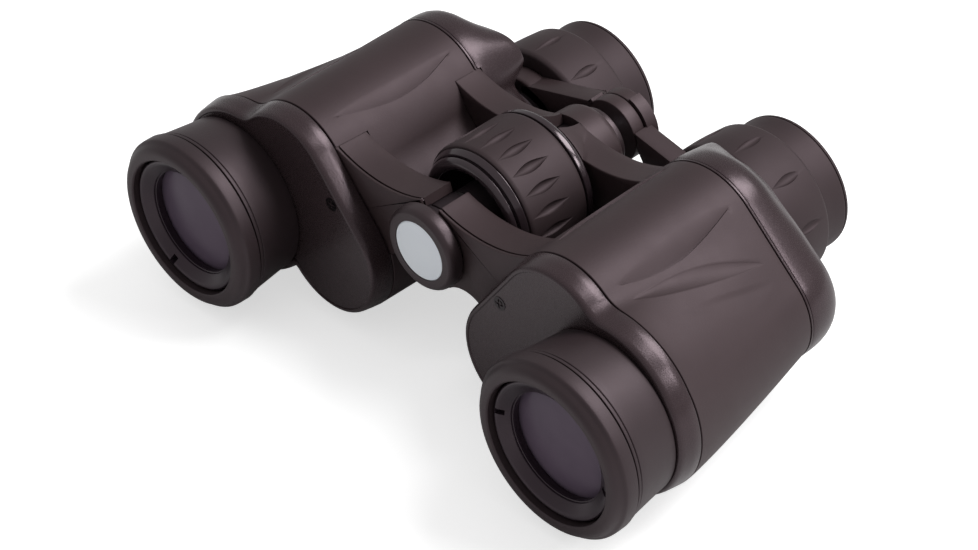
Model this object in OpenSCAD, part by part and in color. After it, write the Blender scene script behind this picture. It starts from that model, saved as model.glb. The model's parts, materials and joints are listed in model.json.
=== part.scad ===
// Porro-prism binoculars with centre focusing.
// X runs across the two halves, Y from the objectives back to the eyepieces, Z up.
// The origin lies on the resting surface, under the middle of the whole instrument.

/* [Optical layout] */
// Distance between the two objective axes
objective_spacing = 118; // [114:0.5:124]
// Sideways step that each prism gives to the light
prism_step = 20.4; // [19.8:0.1:21]
// Angle of the rear prism's step above the horizontal
prism_turn = 37.8; // [35:0.2:41]
// Height of the hinge axis above the objective axes
hinge_rise = 11.5; // [10:0.25:13]

/* [Lengths along the optical axis] */
// Length of the rounded rim in front of the objective barrel
rim_len = 5.5; // [5:0.1:8]
// Length of the objective barrel that stands in front of the front cover
barrel_len = 13.5; // [12.5:0.1:18]
// Length of the front cover
front_cover_len = 5.6; // [5:0.1:7]
// Length of the body shell between its two covers
body_len = 42.7; // [42:0.1:50]
// Length of the rear cover
rear_cover_len = 11; // [9.5:0.1:13]
// Gap between the rear cover and the eyepiece collar, left open for focusing
focus_gap = 3; // [2.6:0.1:5]
// Length of the collar that holds the eyepiece
collar_len = 5.4; // [4.6:0.1:7]
// Length of the eyepiece grip
grip_len = 14.3; // [13:0.1:18]
// Length of the eyecup behind the grip
eyecup_len = 8.7; // [7.5:0.1:12]

/* [Objective] */
// Outer radius of the objective rim
rim_r = 21.6; // [21.2:0.1:22.6]
// Wall of the rim round its recess
rim_wall = 4.4; // [4:0.1:4.8]
// How much slimmer the barrel is than the rim where it meets the front cover
barrel_taper = 2; // [1.4:0.1:2.6]
// Step from the recess down to the edge of the lens elements
lens_margin = 1.8; // [1.6:0.1:2.1]
// Width of the seat that the lens elements rest on
lens_seat = 2.4; // [1.8:0.1:2.9]
// Wall of the threaded spigot that holds the barrel in the front cover
spigot_wall = 1.6; // [1.2:0.1:2]
// Thickness of the crown element at its centre
crown_t = 5.6; // [5.2:0.1:6.4]
// Thickness of the flint element at its centre
flint_t = 2; // [1.6:0.1:2.6]
// Radius of curvature of the front surface
front_curve_r = 72; // [68:1:90]
// Radius of curvature of the cemented surface
cement_curve_r = 60; // [56:1:80]
// Thickness of the retaining ring
retainer_t = 4.4; // [4:0.1:4.8]
// Turn of the two spanner slots in the retaining ring
slot_turn = 8; // [0:1:90]
// Width of the two spanner slots in the retaining ring
slot_w = 1.6; // [1:0.1:2.4]

/* [Body] */
// Radius of the casing round the front prism
front_prism_lobe_r = 15.2; // [15:0.1:16]
// How much smaller the casing's rounding at the objective is than the rim
objective_lobe_inset = 1; // [0.4:0.1:1.6]
// Radius of the casing round the rear prism, at its upper end
rear_prism_lobe_r = 15.7; // [15.4:0.1:17.2]
// Radius of the casing round the rear prism, at its lower end
rear_tail_r = 13.1; // [12.6:0.1:15]
// Radius of the rounded shoulder that stands back from the rear cover
shoulder_r = 4.6; // [4:0.1:4.8]
// How far the shoulder stands back from the rear cover's face
shoulder_len = 3.2; // [2:0.2:3.6]
// Wall of the casing round the guide tube at the rear cover
guide_cover = 0.9; // [0.7:0.1:1.1]
// Width of the fillet in the waist between two lobes
waist_blend = 5; // [2:0.5:6]
// How far the body stands proud of the cover faces
body_swell = 1; // [0.6:0.1:1.1]
// Wall thickness of the casing
wall = 2.2; // [1.8:0.1:2.4]
// Rounding of the rear cover's edge
rear_edge = 2.4; // [2:0.2:4]
// Thickness of the prism shelf
shelf_t = 2; // [1.6:0.1:3]
// Width of the prisms
prism_w = 19.6; // [18.6:0.1:19.8]
// Flat left on the ridge of each prism
ridge_flat = 1.2; // [0.6:0.2:2]
// Thickness of the prism clips
clip_t = 0.6; // [0.4:0.1:0.8]
// Width of the prism clips
clip_w = 6; // [4:0.5:8]
// Radius of the cover screws' shanks
screw_r = 0.9; // [0.7:0.1:1]
// Radius of the cover screws' heads
screw_head_r = 1.7; // [1.5:0.1:2.3]
// Radius of the screw bosses inside the body
boss_r = 2.2; // [1.8:0.1:2.3]

/* [Hinge] */
// Width of the front hinge arms
front_arm_w = 9.2; // [8.4:0.2:10]
// Width of the rear hinge arms
rear_arm_w = 7.7; // [7:0.1:8.6]
// How far the rear hinge arms reach over the rear cover
rear_arm_overlap = 1.7; // [1.2:0.1:2.2]
// Outer radius of the hinge arms round the axis
hub_r = 10.6; // [10.2:0.1:11]
// Outer radius of the rear arms' front edge round the axis
shroud_r = 13.8; // [12.6:0.2:14.6]
// Radius of the hinge knuckles
knuckle_r = 8.6; // [8:0.1:9]
// Half the thickness of a hinge arm at its slimmest
arm_waist = 7.8; // [7:0.1:8.6]
// Radius of the front hinge pin
pin_r = 4.5; // [4:0.1:5]
// Outer radius of the rear hinge tube
hinge_tube_r = 5.5; // [5:0.1:6]
// Length of the boss behind the right rear arm
boss_len = 7.4; // [6.5:0.1:7.6]
// Thickness of the nut that closes the hinge
nut_t = 1.7; // [1.2:0.1:1.8]
// Angle that the halves can open from rest
open_angle = 30; // [20:1:34]
// Angle that the halves can close from rest
close_angle = 16; // [10:1:20]
// Length of the round cap in front of the hinge
cap_len = 3.9; // [3.2:0.1:4.4]
// Radius of the cap
cap_r = 10.4; // [9.6:0.1:11]
// Thickness of the disc set in the cap
disc_t = 0.8; // [0.5:0.1:1.2]
// Border of the cap round its disc
disc_border = 3; // [2:0.1:4]

/* [Focusing] */
// Radius of the focus wheel's rubber sleeve
sleeve_r = 16.6; // [16:0.1:16.7]
// Wall of the rubber sleeve
sleeve_wall = 1.6; // [1.2:0.1:2]
// Width of the front ring on the wheel
front_ring_w = 3.6; // [3:0.1:4.4]
// Width of the rear ring on the wheel
rear_ring_w = 2.8; // [2.2:0.1:3.4]
// Thickness of the thrust washers beside the wheel
washer_t = 1.6; // [1:0.1:1.8]
// Radius of the focus rod
rod_r = 3; // [2.6:0.1:3.2]
// Depth of the hollow in the front of the wheel
wheel_hollow = 15; // [12:0.5:17]
// Radius of the bridge's hub
bridge_hub_r = 8; // [7.4:0.1:8.6]
// Height of the bridge arms
bridge_arm_h = 5; // [4:0.2:6]

/* [Eyepiece] */
// Outer radius of the eyecup
eyecup_r = 17; // [16.8:0.1:17.4]
// Wall of the eyecup round the ocular cell
eyecup_wall = 2.4; // [2.2:0.1:2.6]
// How far the eyepiece grip stands out from the eyecup
grip_step = 2.8; // [2.4:0.1:3.2]
// How much smaller the grip is at its rear edge
grip_taper = 0.7; // [0.4:0.1:1]
// Step from the ocular cell down to the sliding ocular tube
tube_step = 1.4; // [1.2:0.1:1.6]
// Wall of the sliding ocular tube
tube_wall = 1.2; // [1:0.1:1.4]
// Wall of the collar on the bridge arm, measured from the ocular tube
collar_wall = 3; // [2.6:0.1:3.6]
// Wall of the fixed guide tube, measured from the ocular tube
guide_wall = 1.8; // [1.5:0.1:2]
// Travel left between the ocular tube and the cell's shoulder
cell_gap = 1.6; // [1.5:0.1:2]
// Step from the ocular tube down to the edge of the field lens
field_lens_margin = 2.4; // [2.2:0.1:3]
// Thickness of the field lens
field_lens_t = 4.4; // [3.6:0.1:5]
// Wall of the ocular cell round the eye lens
eye_lens_margin = 3.2; // [2.8:0.1:3.8]
// Thickness of the eye lens
eye_lens_t = 5; // [4:0.1:5.4]
// Radius of curvature of the field lens
field_curve_r = 44; // [36:1:60]
// Radius of curvature of the eye lens
eye_curve_r = 40; // [36:1:60]

/* [Clearances] */
// Radial clearance of running fits
running = 0.05; // [0.02:0.01:0.08]
// Gap between parts that move past each other
gap = 0.3; // [0.2:0.05:0.4]
// Gap between parts that are seated on each other
seat = 0.05; // [0.02:0.01:0.1]

/* [Hidden] */
$fn = 96;

// Radii that follow from the rim and the eyecup
recess_r = rim_r - rim_wall;
barrel_r = rim_r - barrel_taper;
objective_lens_r = recess_r - lens_margin;
objective_clear_r = objective_lens_r - lens_seat;
spigot_r = objective_lens_r + spigot_wall;
objective_lobe_r = rim_r - objective_lobe_inset;
disc_r = cap_r - disc_border;
cell_r = eyecup_r - eyecup_wall;
grip_r = eyecup_r + grip_step;
grip_end_r = grip_r - grip_taper;
ocular_tube_r = cell_r - tube_step;
collar_r = ocular_tube_r + collar_wall;
guide_r = ocular_tube_r + guide_wall;
eyepiece_lobe_r = guide_r + guide_cover;
field_lens_r = ocular_tube_r - field_lens_margin;
eye_lens_r = cell_r - eye_lens_margin;

// Stations along Y
overall_len = rim_len + barrel_len + front_cover_len + body_len + rear_cover_len + focus_gap
    + collar_len + gap + grip_len + eyecup_len;
front_y = -overall_len / 2;
rim_back_y = front_y + rim_len;
cover_face_y = rim_back_y + barrel_len;
body_y = cover_face_y + front_cover_len;
rear_cover_y = body_y + body_len;
rear_face_y = rear_cover_y + rear_cover_len;
collar_y = rear_face_y + focus_gap;
collar_end_y = collar_y + collar_len;
grip_y = collar_end_y + gap;
grip_end_y = grip_y + grip_len;
end_y = grip_end_y + eyecup_len;

// Axes across the section, as [x, z] of the right half
eyepiece_z = grip_r;
objective_z = eyepiece_z + prism_step * (cos(prism_turn) - sin(prism_turn));
objective = [objective_spacing / 2, objective_z];
knee = objective + prism_step * [-cos(prism_turn), sin(prism_turn)];
eyepiece = knee - prism_step * [sin(prism_turn), cos(prism_turn)];
hinge = [0, objective_z + hinge_rise];

// Casing outline
core = [(objective[0] + eyepiece[0]) / 2, (objective[1] + knee[1] + eyepiece[1]) / 3];
lobe_shift = [-1.1, 1.4];
lobe_trim = 0.25;
morph_skew = 0.5;
shoulder = knee + [-10.4, 5.1];
outline_points = 90;
pill_steps = 10;

// Prism block: the shelf's faces and the prisms' height
shelf_y = body_y + body_len / 2 + 0.8;
shelf_back_y = shelf_y + shelf_t;
prism_h = prism_step - ridge_flat / 2;
cover_plate_t = wall;
screw_inset = 4.6;
boss_depth = 8;
boss_rib_w = 1.6;
rear_plate_t = wall + 0.4;

// Hinge stations
front_arm_y = body_y + gap;
front_arm_end_y = front_arm_y + front_arm_w;
front_split_y = front_arm_y + front_arm_w / 2;
rear_arm_end_y = rear_cover_y + rear_arm_overlap;
rear_arm_y = rear_arm_end_y - rear_arm_w;
rear_split_y = rear_arm_y + rear_arm_w / 2;
boss_end_y = rear_arm_end_y + boss_len;
nut_end_y = boss_end_y + gap + nut_t;
arm_gap_top = open_angle / 2 + 0.5;
arm_gap_bottom = close_angle / 2 + 1.5;
web_mid = 15.5;
web_cut_r = 34;
web_low_mid = 9.4;
web_low_cut_r = 8;
arm_bite = 1;

// Wheel stations
wheel_y = front_arm_end_y + washer_t + 2 * gap;
wheel_end_y = rear_arm_y - washer_t;
sleeve_y = wheel_y + front_ring_w;
sleeve_end_y = wheel_end_y - rear_ring_w;
drum_r = sleeve_r - sleeve_wall;
wheel_hub_r = 7;
hollow_r = drum_r - 2.6;
bearing_len = 2.6;
pin_end_y = wheel_y + bearing_len;
tube_y = wheel_end_y - bearing_len;

// Focusing rod and bridge stations
rod_y = pin_end_y + 3.2;
bridge_end_y = collar_end_y + 2;
bridge_split_y = (collar_y + bridge_end_y) / 2;
rod_head_t = 1.4;
bridge_gap_left = 40;
bridge_gap_right = 16;

// Objective cell stations
lens_edge_y = rim_back_y + 0.6;
front_sag = sag(front_curve_r, objective_lens_r);
cement_sag = sag(cement_curve_r, objective_lens_r);
crown_edge_t = crown_t - front_sag - cement_sag;
flint_edge_t = flint_t + cement_sag;
lens_back_y = lens_edge_y + crown_edge_t + flint_edge_t;
spigot_end_y = body_y - 0.4;
groove_w = 0.5;
dome_steps = 8;
cement_y = lens_edge_y + crown_edge_t + cement_sag;

// Eyepiece stations
ocular_tube_reach = 10;
ocular_tube_y = collar_y - ocular_tube_reach;
guide_y = rear_cover_y + 2.2;
guide_end_y = rear_face_y + 0.6;
grip_lip_t = 1.2;
ocular_tube_end_y = grip_y + grip_lip_t - 0.1;
cell_step_y = ocular_tube_end_y + cell_gap;
cell_front_y = collar_y - 2;
cell_end_y = grip_end_y + 3;
cell_bore_r = ocular_tube_r - tube_wall;
cell_nose_r = cell_bore_r - running;
field_lens_y = cell_front_y + 1;
field_lens_end_y = field_lens_y + field_lens_t;
eye_lens_end_y = cell_end_y - 1.6;
eye_lens_y = eye_lens_end_y - eye_lens_t;
eyecup_y = grip_end_y - 1.2;
counterbore_depth = 2.7;
cup_lip = 0.7;

// Colours
satin_black = [0.09, 0.08, 0.085];
gloss_black = [0.05, 0.045, 0.05];
rubber_black = [0.11, 0.1, 0.105];
matt_black = [0.04, 0.04, 0.04];
coated_glass = [0.45, 0.38, 0.5, 0.5];
clear_glass = [0.75, 0.82, 0.82, 0.5];
steel = [0.62, 0.62, 0.64];
cap_grey = [0.74, 0.77, 0.82];
nylon = [0.85, 0.85, 0.8];

// Height of a spherical surface of curvature radius cr over a disc of radius r
function sag(cr, r) = cr - sqrt(cr * cr - r * r);

// Profile of a spherical surface from its axis out to r; dir is 1 where it falls away towards +Y
function dome(cr, r, vertex_y, dir) =
    [for (i = [0 : dome_steps]) let (x = r * i / dome_steps) [x, vertex_y + dir * sag(cr, x)]];

function reversed(points) = [for (i = [len(points) - 1 : -1 : 0]) points[i]];

// Distance from p, at angle a, to the far side of a circle
function exit_r(p, c, r, a) =
    let (d = c - p, along = d * [cos(a), sin(a)], room = r * r - d * d + along * along)
    room < 0 ? 0 : along + sqrt(room);

// The same for a rounded bar of radius r1 at the centre c1 and r2 at the centre c2
function pill_r(p, c1, c2, r1, r2, a) = max([for (i = [0 : pill_steps]) let (t = i / pill_steps)
    exit_r(p, c1 + (c2 - c1) * t, r1 + (r2 - r1) * t, a)]);

// The larger of two radii, with a fillet where they cross
function blend_max(a, b) =
    let (h = max(waist_blend - abs(a - b), 0) / waist_blend) max(a, b) + h * h * waist_blend / 4;

function front_outline_r(a, grow) = blend_max(
    pill_r(core, knee, eyepiece, front_prism_lobe_r + grow, front_prism_lobe_r + grow, a),
    max(exit_r(core, objective + lobe_shift, objective_lobe_r + grow, a),
        exit_r(core, objective, objective_lobe_r - lobe_trim + grow, a)));

function rear_outline_r(a, grow) = blend_max(
    pill_r(core, knee, objective, rear_prism_lobe_r + grow, rear_tail_r + grow, a),
    exit_r(core, eyepiece, eyepiece_lobe_r + grow, a));

// Share of the rear outline in the casing's section at y; it comes in sooner at the top
function morph(y, a) =
    pow(min(max((y - body_y) / body_len, 0), 1), 1 - morph_skew * sin(a));

// Casing outline at y, moved outwards by grow
function outline(y, grow) = [for (i = [0 : outline_points - 1])
    let (a = 360 * i / outline_points, m = morph(y, a))
    core + ((1 - m) * front_outline_r(a, grow) + m * rear_outline_r(a, grow)) * [cos(a), sin(a)]];

// Turns a flat section drawn in X and Z into a slab from y0 to y1
module slab(y0, y1) {
    translate([0, y1, 0]) rotate([90, 0, 0]) linear_extrude(y1 - y0) children();
}

// Moves round parts from the Y axis to an axis at c = [x, z]
module at(c) {
    translate([c[0], 0, c[1]]) children();
}

// Draws the left half's copy of a right-hand part
module on_left() {
    mirror([1, 0, 0]) children();
}

// Round bar along Y; r_end makes it a cone
module bar(r, y0, y1, r_end = 0) {
    translate([0, y0, 0]) rotate([-90, 0, 0])
        cylinder(h = y1 - y0, r1 = r, r2 = r_end > 0 ? r_end : r);
}

// Round tube along Y
module tube(r_out, r_in, y0, y1) {
    difference() {
        bar(r_out, y0, y1);
        bar(r_in, y0 - 1, y1 + 1);
    }
}

// Turned part along Y from [radius, y] points
module turned(points) {
    rotate([-90, 0, 0]) rotate_extrude() polygon(points);
}

// Casing solid through sections given as [y, grow]
module casing(sections) {
    n = outline_points;
    last = len(sections) - 1;
    rings = [for (s = sections) [for (p = outline(s[0], s[1])) [p[0], s[0], p[1]]]];
    sides = [for (j = [0 : last - 1]) for (i = [0 : n - 1])
        let (k = (i + 1) % n, a = j * n + i, b = j * n + k, c = a + n, d = b + n)
        each [[a, b, d], [a, d, c]]];
    polyhedron([for (r = rings) each r],
        concat([[for (i = [n - 1 : -1 : 0]) i]], sides, [[for (i = [0 : n - 1]) last * n + i]]));
}

// The same, cut off flat at its first and last section
module flat_casing(sections) {
    last = len(sections) - 1;
    spare = 1;
    intersection() {
        casing(concat([sections[0] - [spare, 0]], sections, [sections[last] + [spare, 0]]));
        slab(sections[0][0], sections[last][0]) square(150);
    }
}

// Wedge of the section round the hinge axis, from angle a0 to a1 measured clockwise from the top
module wedge(a0, a1, r) {
    steps = 8;
    polygon(concat([[0, 0]],
        [for (i = [0 : steps]) let (a = a0 + (a1 - a0) * i / steps) r * [sin(a), cos(a)]]));
}

// ---------- objective ----------

module objective_rim() {
    color(satin_black) at(objective) turned([
        [recess_r, front_y + 0.9], [recess_r + 0.5, front_y + 0.2], [recess_r + 1.1, front_y],
        [rim_r - 1.7, front_y], [rim_r - 1, front_y + 0.4], [rim_r - 0.5, front_y + 1.2],
        [rim_r - 0.2, front_y + 2.2], [rim_r, front_y + 3.4], [rim_r, rim_back_y],
        [recess_r, rim_back_y]]);
}

module objective_barrel() {
    groove_r = rim_r - 0.9;
    ridge_r = rim_r - 0.3;
    ledge_r = objective_clear_r - 0.3;
    color(satin_black) at(objective) turned([
        [recess_r - 0.4, rim_back_y], [groove_r, rim_back_y],
        [groove_r, rim_back_y + groove_w], [ridge_r, rim_back_y + groove_w],
        [ridge_r, rim_back_y + 1.4], [groove_r, rim_back_y + 1.4],
        [groove_r, rim_back_y + 1.8], [rim_r - 0.6, rim_back_y + 1.8],
        [barrel_r, cover_face_y], [spigot_r, cover_face_y], [spigot_r, spigot_end_y],
        [ledge_r, spigot_end_y], [ledge_r, lens_back_y], [objective_lens_r, lens_back_y],
        [objective_lens_r, lens_edge_y], [recess_r - 0.4, lens_edge_y]]);
}

module retaining_ring() {
    ring_y = lens_edge_y - retainer_t;
    outer_r = recess_r - 0.4 - seat;
    lip_lift = front_sag - sag(front_curve_r, objective_clear_r) + seat;
    cone_t = 1.7;
    color(matt_black) at(objective) difference() {
        turned([[objective_clear_r, lens_edge_y - lip_lift], [objective_clear_r, ring_y + cone_t],
            [outer_r - 0.8, ring_y], [outer_r - 0.3, ring_y + 0.3], [outer_r, ring_y + 1],
            [outer_r, lens_edge_y], [objective_lens_r, lens_edge_y]]);
        rotate([0, slot_turn, 0]) translate([0, ring_y, 0])
            cube([3 * outer_r, 2 * cone_t + 1, slot_w], center = true);
    }
}

module objective_crown() {
    color(coated_glass) at(objective) turned(concat(
        dome(front_curve_r, objective_lens_r, lens_edge_y - front_sag, 1),
        reversed(dome(cement_curve_r, objective_lens_r, cement_y, -1))));
}

module objective_flint() {
    color(coated_glass) at(objective) turned(concat(
        dome(cement_curve_r, objective_lens_r, cement_y, -1),
        [[objective_lens_r, lens_back_y], [0, lens_back_y]]));
}

// ---------- casing ----------

// Axes of the cover screws and the direction from each to the nearest wall
inwards = [-cos(prism_turn), sin(prism_turn)];
front_screw = (knee + eyepiece) / 2 + (front_prism_lobe_r - 3) * inwards;
rear_screws = [
    [knee + (rear_prism_lobe_r - screw_inset) * inwards, 180 - prism_turn],
    [objective - (rear_tail_r - screw_inset) * inwards, -prism_turn]];

module front_cover() {
    color(gloss_black) difference() {
        flat_casing([
            [cover_face_y, 0], [cover_face_y + 0.7, 0.5 * body_swell], [body_y, body_swell]]);
        slab(cover_face_y + cover_plate_t, body_y + 1) polygon(outline(body_y, -wall + 0.4));
        at(objective) bar(spigot_r + seat, cover_face_y - 1, body_y + 1);
        at(front_screw) screw_hole(cover_face_y, 1);
    }
}

// Hole for a countersunk screw that enters at y in direction dir
module screw_hole(y, dir) {
    translate([0, y, 0]) rotate([-90 * dir, 0, 0]) {
        translate([0, 0, -0.5]) cylinder(h = 1.7, r = screw_head_r + seat);
        cylinder(h = 40, r = screw_r + seat);
    }
}

// Countersunk screw of the same size
module screw(y, dir, length) {
    translate([0, y, 0]) rotate([-90 * dir, 0, 0]) difference() {
        union() {
            translate([0, 0, 0.1]) cylinder(h = 1.1, r = screw_head_r);
            cylinder(h = length, r = screw_r);
        }
        for (a = [0, 90]) rotate(a) cube([2.4, 0.5, 1.4], center = true);
    }
}

module body_shell() {
    steps = 5;
    ends = [for (i = [0 : steps]) body_y + body_len * i / steps];
    color(satin_black) difference() {
        union() {
            difference() {
                flat_casing([for (y = ends) [y, body_swell]]);
                casing([for (i = [0 : steps]) let (y = ends[i])
                    [i == 0 ? y - 0.5 : i == steps ? y + 0.5 : y, -wall + body_swell]]);
            }
            intersection() {
                casing([for (y = ends) [y, 0]]);
                union() {
                    at(front_screw) bar(boss_r, body_y + seat, body_y + boss_depth);
                    for (s = rear_screws)
                        slab(rear_cover_y - boss_depth, rear_cover_y - seat) translate(s[0]) {
                            circle(boss_r);
                            rotate(s[1]) translate([0, -boss_rib_w / 2])
                                square([screw_inset, boss_rib_w]);
                        }
                }
            }
        }
        at(front_screw) bar(screw_r + seat, body_y - 1, body_y + boss_depth + 1);
        for (s = rear_screws)
            at(s[0]) bar(screw_r + seat, rear_cover_y - boss_depth - 1, rear_cover_y + 1);
        arm_pocket(front_arm_y, front_arm_end_y);
        arm_pocket(rear_arm_y, rear_arm_end_y);
    }
}

module cover_shoulder() {
    end = rear_face_y + shoulder_len;
    at(shoulder) turned([[0, rear_face_y - rear_edge], [shoulder_r, rear_face_y - rear_edge],
        [shoulder_r, end - 1.4], [shoulder_r - 0.4, end - 0.6], [shoulder_r - 1.4, end], [0, end]]);
}

module rear_cover() {
    color(gloss_black) difference() {
        union() {
            flat_casing([[rear_cover_y, body_swell], [rear_face_y - rear_edge, body_swell],
                [rear_face_y - 0.5 * rear_edge, body_swell - 0.16 * rear_edge],
                [rear_face_y - 0.15 * rear_edge, body_swell - 0.5 * rear_edge],
                [rear_face_y, body_swell - rear_edge]]);
            cover_shoulder();
        }
        slab(rear_cover_y - 1, rear_face_y - rear_plate_t) polygon(outline(rear_cover_y, -wall));
        at(eyepiece) bar(guide_r + seat, rear_cover_y - 1, rear_face_y + 1);
        for (s = rear_screws) at(s[0]) screw_hole(rear_face_y, -1);
        arm_pocket(rear_arm_y, rear_arm_end_y);
    }
}

module cover_screws() {
    color(steel) {
        at(front_screw) screw(cover_face_y, 1, front_cover_len + 6);
        for (s = rear_screws) at(s[0]) screw(rear_face_y, -1, rear_cover_len + 6);
    }
}

module guide_tube() {
    color(matt_black) at(eyepiece) tube(guide_r, ocular_tube_r + running, guide_y, guide_end_y);
}

// ---------- prisms ----------

module prism_shelf() {
    window_r = prism_w / 2 - 1;
    color(matt_black) slab(shelf_y, shelf_back_y) difference() {
        polygon(outline(shelf_y, body_swell - wall - 1.5 * gap));
        for (c = [objective, knee, eyepiece]) translate(c) circle(window_r);
    }
}

// Moves a prism drawn with its seat at y = 0, its ridge towards +Y and its long side along X
module prism_place(c1, c2, y, dir) {
    mid = (c1 + c2) / 2;
    turn = atan2(c2[1] - c1[1], c2[0] - c1[0]);
    translate([mid[0], y, mid[1]]) rotate([0, -turn, 0]) scale_y(dir) children();
}

module scale_y(dir) {
    if (dir > 0) children();
    else mirror([0, 1, 0]) children();
}

module prism() {
    half = prism_step;
    intersection() {
        translate([0, 0, -prism_w / 2]) linear_extrude(prism_w) polygon([
            [-half, 0], [half, 0], [ridge_flat / 2, prism_h], [-ridge_flat / 2, prism_h]]);
        slab(0, prism_h + 1) {
            for (s = [-1, 1]) translate([s * prism_step / 2, 0]) circle(prism_w / 2);
            square([prism_step, prism_w], center = true);
        }
    }
}

module front_prism() {
    color(clear_glass) prism_place(knee, eyepiece, shelf_y, -1) prism();
}

module rear_prism() {
    color(clear_glass) prism_place(knee, objective, shelf_back_y, 1) prism();
}

// Sprung strap over a prism's ridge, with a foot on the shelf at each end
module clip_strap() {
    slack = 0.2;
    base = prism_step + slack;
    hip = base - prism_h - slack;
    top = base - hip;
    skin = clip_t * sqrt(2);
    shoe = base + skin + 2;
    side = [[shoe, 0], [shoe, clip_t], [base + skin - clip_t, clip_t],
        [base + skin - top - clip_t, top + clip_t]];
    translate([0, 0, -clip_w / 2]) linear_extrude(clip_w) polygon(concat(
        [[base, 0]], side, [for (p = reversed(side)) [-p[0], p[1]]],
        [[-base, 0], [-hip, top], [hip, top]]));
}

module prism_clips() {
    color(steel) {
        prism_place(knee, eyepiece, shelf_y, -1) clip_strap();
        prism_place(knee, objective, shelf_back_y, 1) clip_strap();
    }
}

// ---------- hinge ----------

// Hollows above and below the web, made smaller by the seat
module web_cuts(less) {
    translate([web_mid, hinge[1] + arm_waist + web_cut_r]) circle(web_cut_r - less);
    translate([web_low_mid, hinge[1] - arm_waist - 1 - web_low_cut_r])
        circle(web_low_cut_r - less);
}

// Section of the web between the hub and the casing, seen along Y, right-hand side
module arm_web(bite) {
    difference() {
        translate([0, hinge[1] - hub_r]) square([knee[0] - 8, 2 * hub_r]);
        web_cuts(0);
        polygon(bite);
    }
}

// Space that a hinge arm takes in the casing
module arm_pocket(y0, y1) {
    bite = outline(y0, body_swell - arm_bite);
    slab(y0 - seat, y1 + seat) offset_free_web(bite);
}

module offset_free_web(bite) {
    difference() {
        translate([0, hinge[1] - hub_r - seat]) square([knee[0] - 8, 2 * hub_r + 2 * seat]);
        web_cuts(seat);
        polygon(bite);
    }
}

// Right-hand arm without its knuckle: web and outer part of the hub
module arm_body(y0, y1, front_r, back_r) {
    bite = outline(y0, body_swell - arm_bite + seat);
    difference() {
        union() {
            intersection() {
                slab(y0, y1) arm_web(bite);
                slab(y0 - 1, y1 + 1) translate(hinge) wedge(arm_gap_top, 180 - arm_gap_bottom, 60);
            }
            intersection() {
                at(hinge) bar(front_r, y0, y1, back_r);
                slab(y0 - 1, y1 + 1) translate(hinge) wedge(arm_gap_top, 180 - arm_gap_bottom, 60);
            }
        }
        at(hinge) bar(knuckle_r + gap, y0 - 1, y1 + 1);
    }
}

// Part of the hub between an arm and its own knuckle
module knuckle(y0, y1, bore_r) {
    at(hinge) tube(knuckle_r, bore_r, y0, y1);
}

module knuckle_bridge(y0, y1, bore_r) {
    difference() {
        slab(y0, y1) intersection() {
            translate(hinge) wedge(arm_gap_top, 180 - arm_gap_bottom, 60);
            translate(hinge) circle(knuckle_r + 2 * gap);
        }
        at(hinge) bar(bore_r, y0 - 1, y1 + 1);
    }
}

module front_arm(own_y, own_end_y, bore_r) {
    color(satin_black) {
        arm_body(front_arm_y, front_arm_end_y, hub_r, hub_r);
        knuckle_bridge(own_y, own_end_y, bore_r);
        knuckle(own_y, own_end_y, bore_r);
    }
}

module rear_arm(own_y, own_end_y, bore_r) {
    color(satin_black) {
        arm_body(rear_arm_y, rear_arm_end_y, shroud_r, hub_r);
        knuckle_bridge(own_y, own_end_y, bore_r);
        knuckle(own_y, own_end_y, bore_r);
    }
}

module right_rear_boss() {
    color(satin_black) at(hinge) difference() {
        union() {
            bar(knuckle_r, rear_arm_end_y, boss_end_y);
            bar(knuckle_r + 0.9, rear_arm_end_y + gap, boss_end_y, knuckle_r);
        }
        bar(hinge_tube_r + running, rear_arm_end_y - 1, boss_end_y + 1);
    }
}

module hinge_pin() {
    color(steel) at(hinge) bar(pin_r, front_arm_y, pin_end_y);
}

module hinge_tube() {
    color(steel) at(hinge) tube(hinge_tube_r, rod_r + running, tube_y, nut_end_y);
}

module hinge_nut() {
    color(gloss_black) at(hinge) tube(knuckle_r - 0.2, hinge_tube_r, nut_end_y - nut_t, nut_end_y);
}

module hinge_cap() {
    y0 = front_arm_y - gap - cap_len;
    color(gloss_black) at(hinge) turned([
        [0, y0 + disc_t], [disc_r, y0 + disc_t], [disc_r, y0],
        [cap_r - 0.9, y0], [cap_r - 0.2, y0 + 0.8], [cap_r, y0 + 2], [cap_r, y0 + cap_len],
        [pin_r, y0 + cap_len], [pin_r, front_arm_y], [0, front_arm_y]]);
}

module cap_disc() {
    y0 = front_arm_y - gap - cap_len;
    color(cap_grey) at(hinge) bar(disc_r, y0 + 0.1, y0 + disc_t);
}

// ---------- focusing ----------

module focus_wheel_core() {
    color(matt_black) at(hinge) difference() {
        turned([[0, wheel_y], [wheel_hub_r, wheel_y], [wheel_hub_r, wheel_y + wheel_hollow],
            [hollow_r, wheel_y + wheel_hollow], [hollow_r, wheel_y + 0.6],
            [drum_r - 1.4, wheel_y + 0.6], [drum_r - 1.4, sleeve_y], [drum_r, sleeve_y],
            [drum_r, sleeve_end_y], [drum_r - 1.4, sleeve_end_y], [drum_r - 1.4, wheel_end_y - 0.4],
            [hollow_r, wheel_end_y - 0.4], [hollow_r, wheel_end_y - 1.6],
            [wheel_hub_r + 2, wheel_end_y - 1.6], [wheel_hub_r + 2, wheel_end_y], [0, wheel_end_y]]);
        bar(rod_r + running, wheel_y - 1, wheel_end_y + 1);
        bar(pin_r + running, wheel_y - 1, pin_end_y + gap);
        bar(hinge_tube_r + running, tube_y - gap, wheel_end_y + 1);
    }
}

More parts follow.
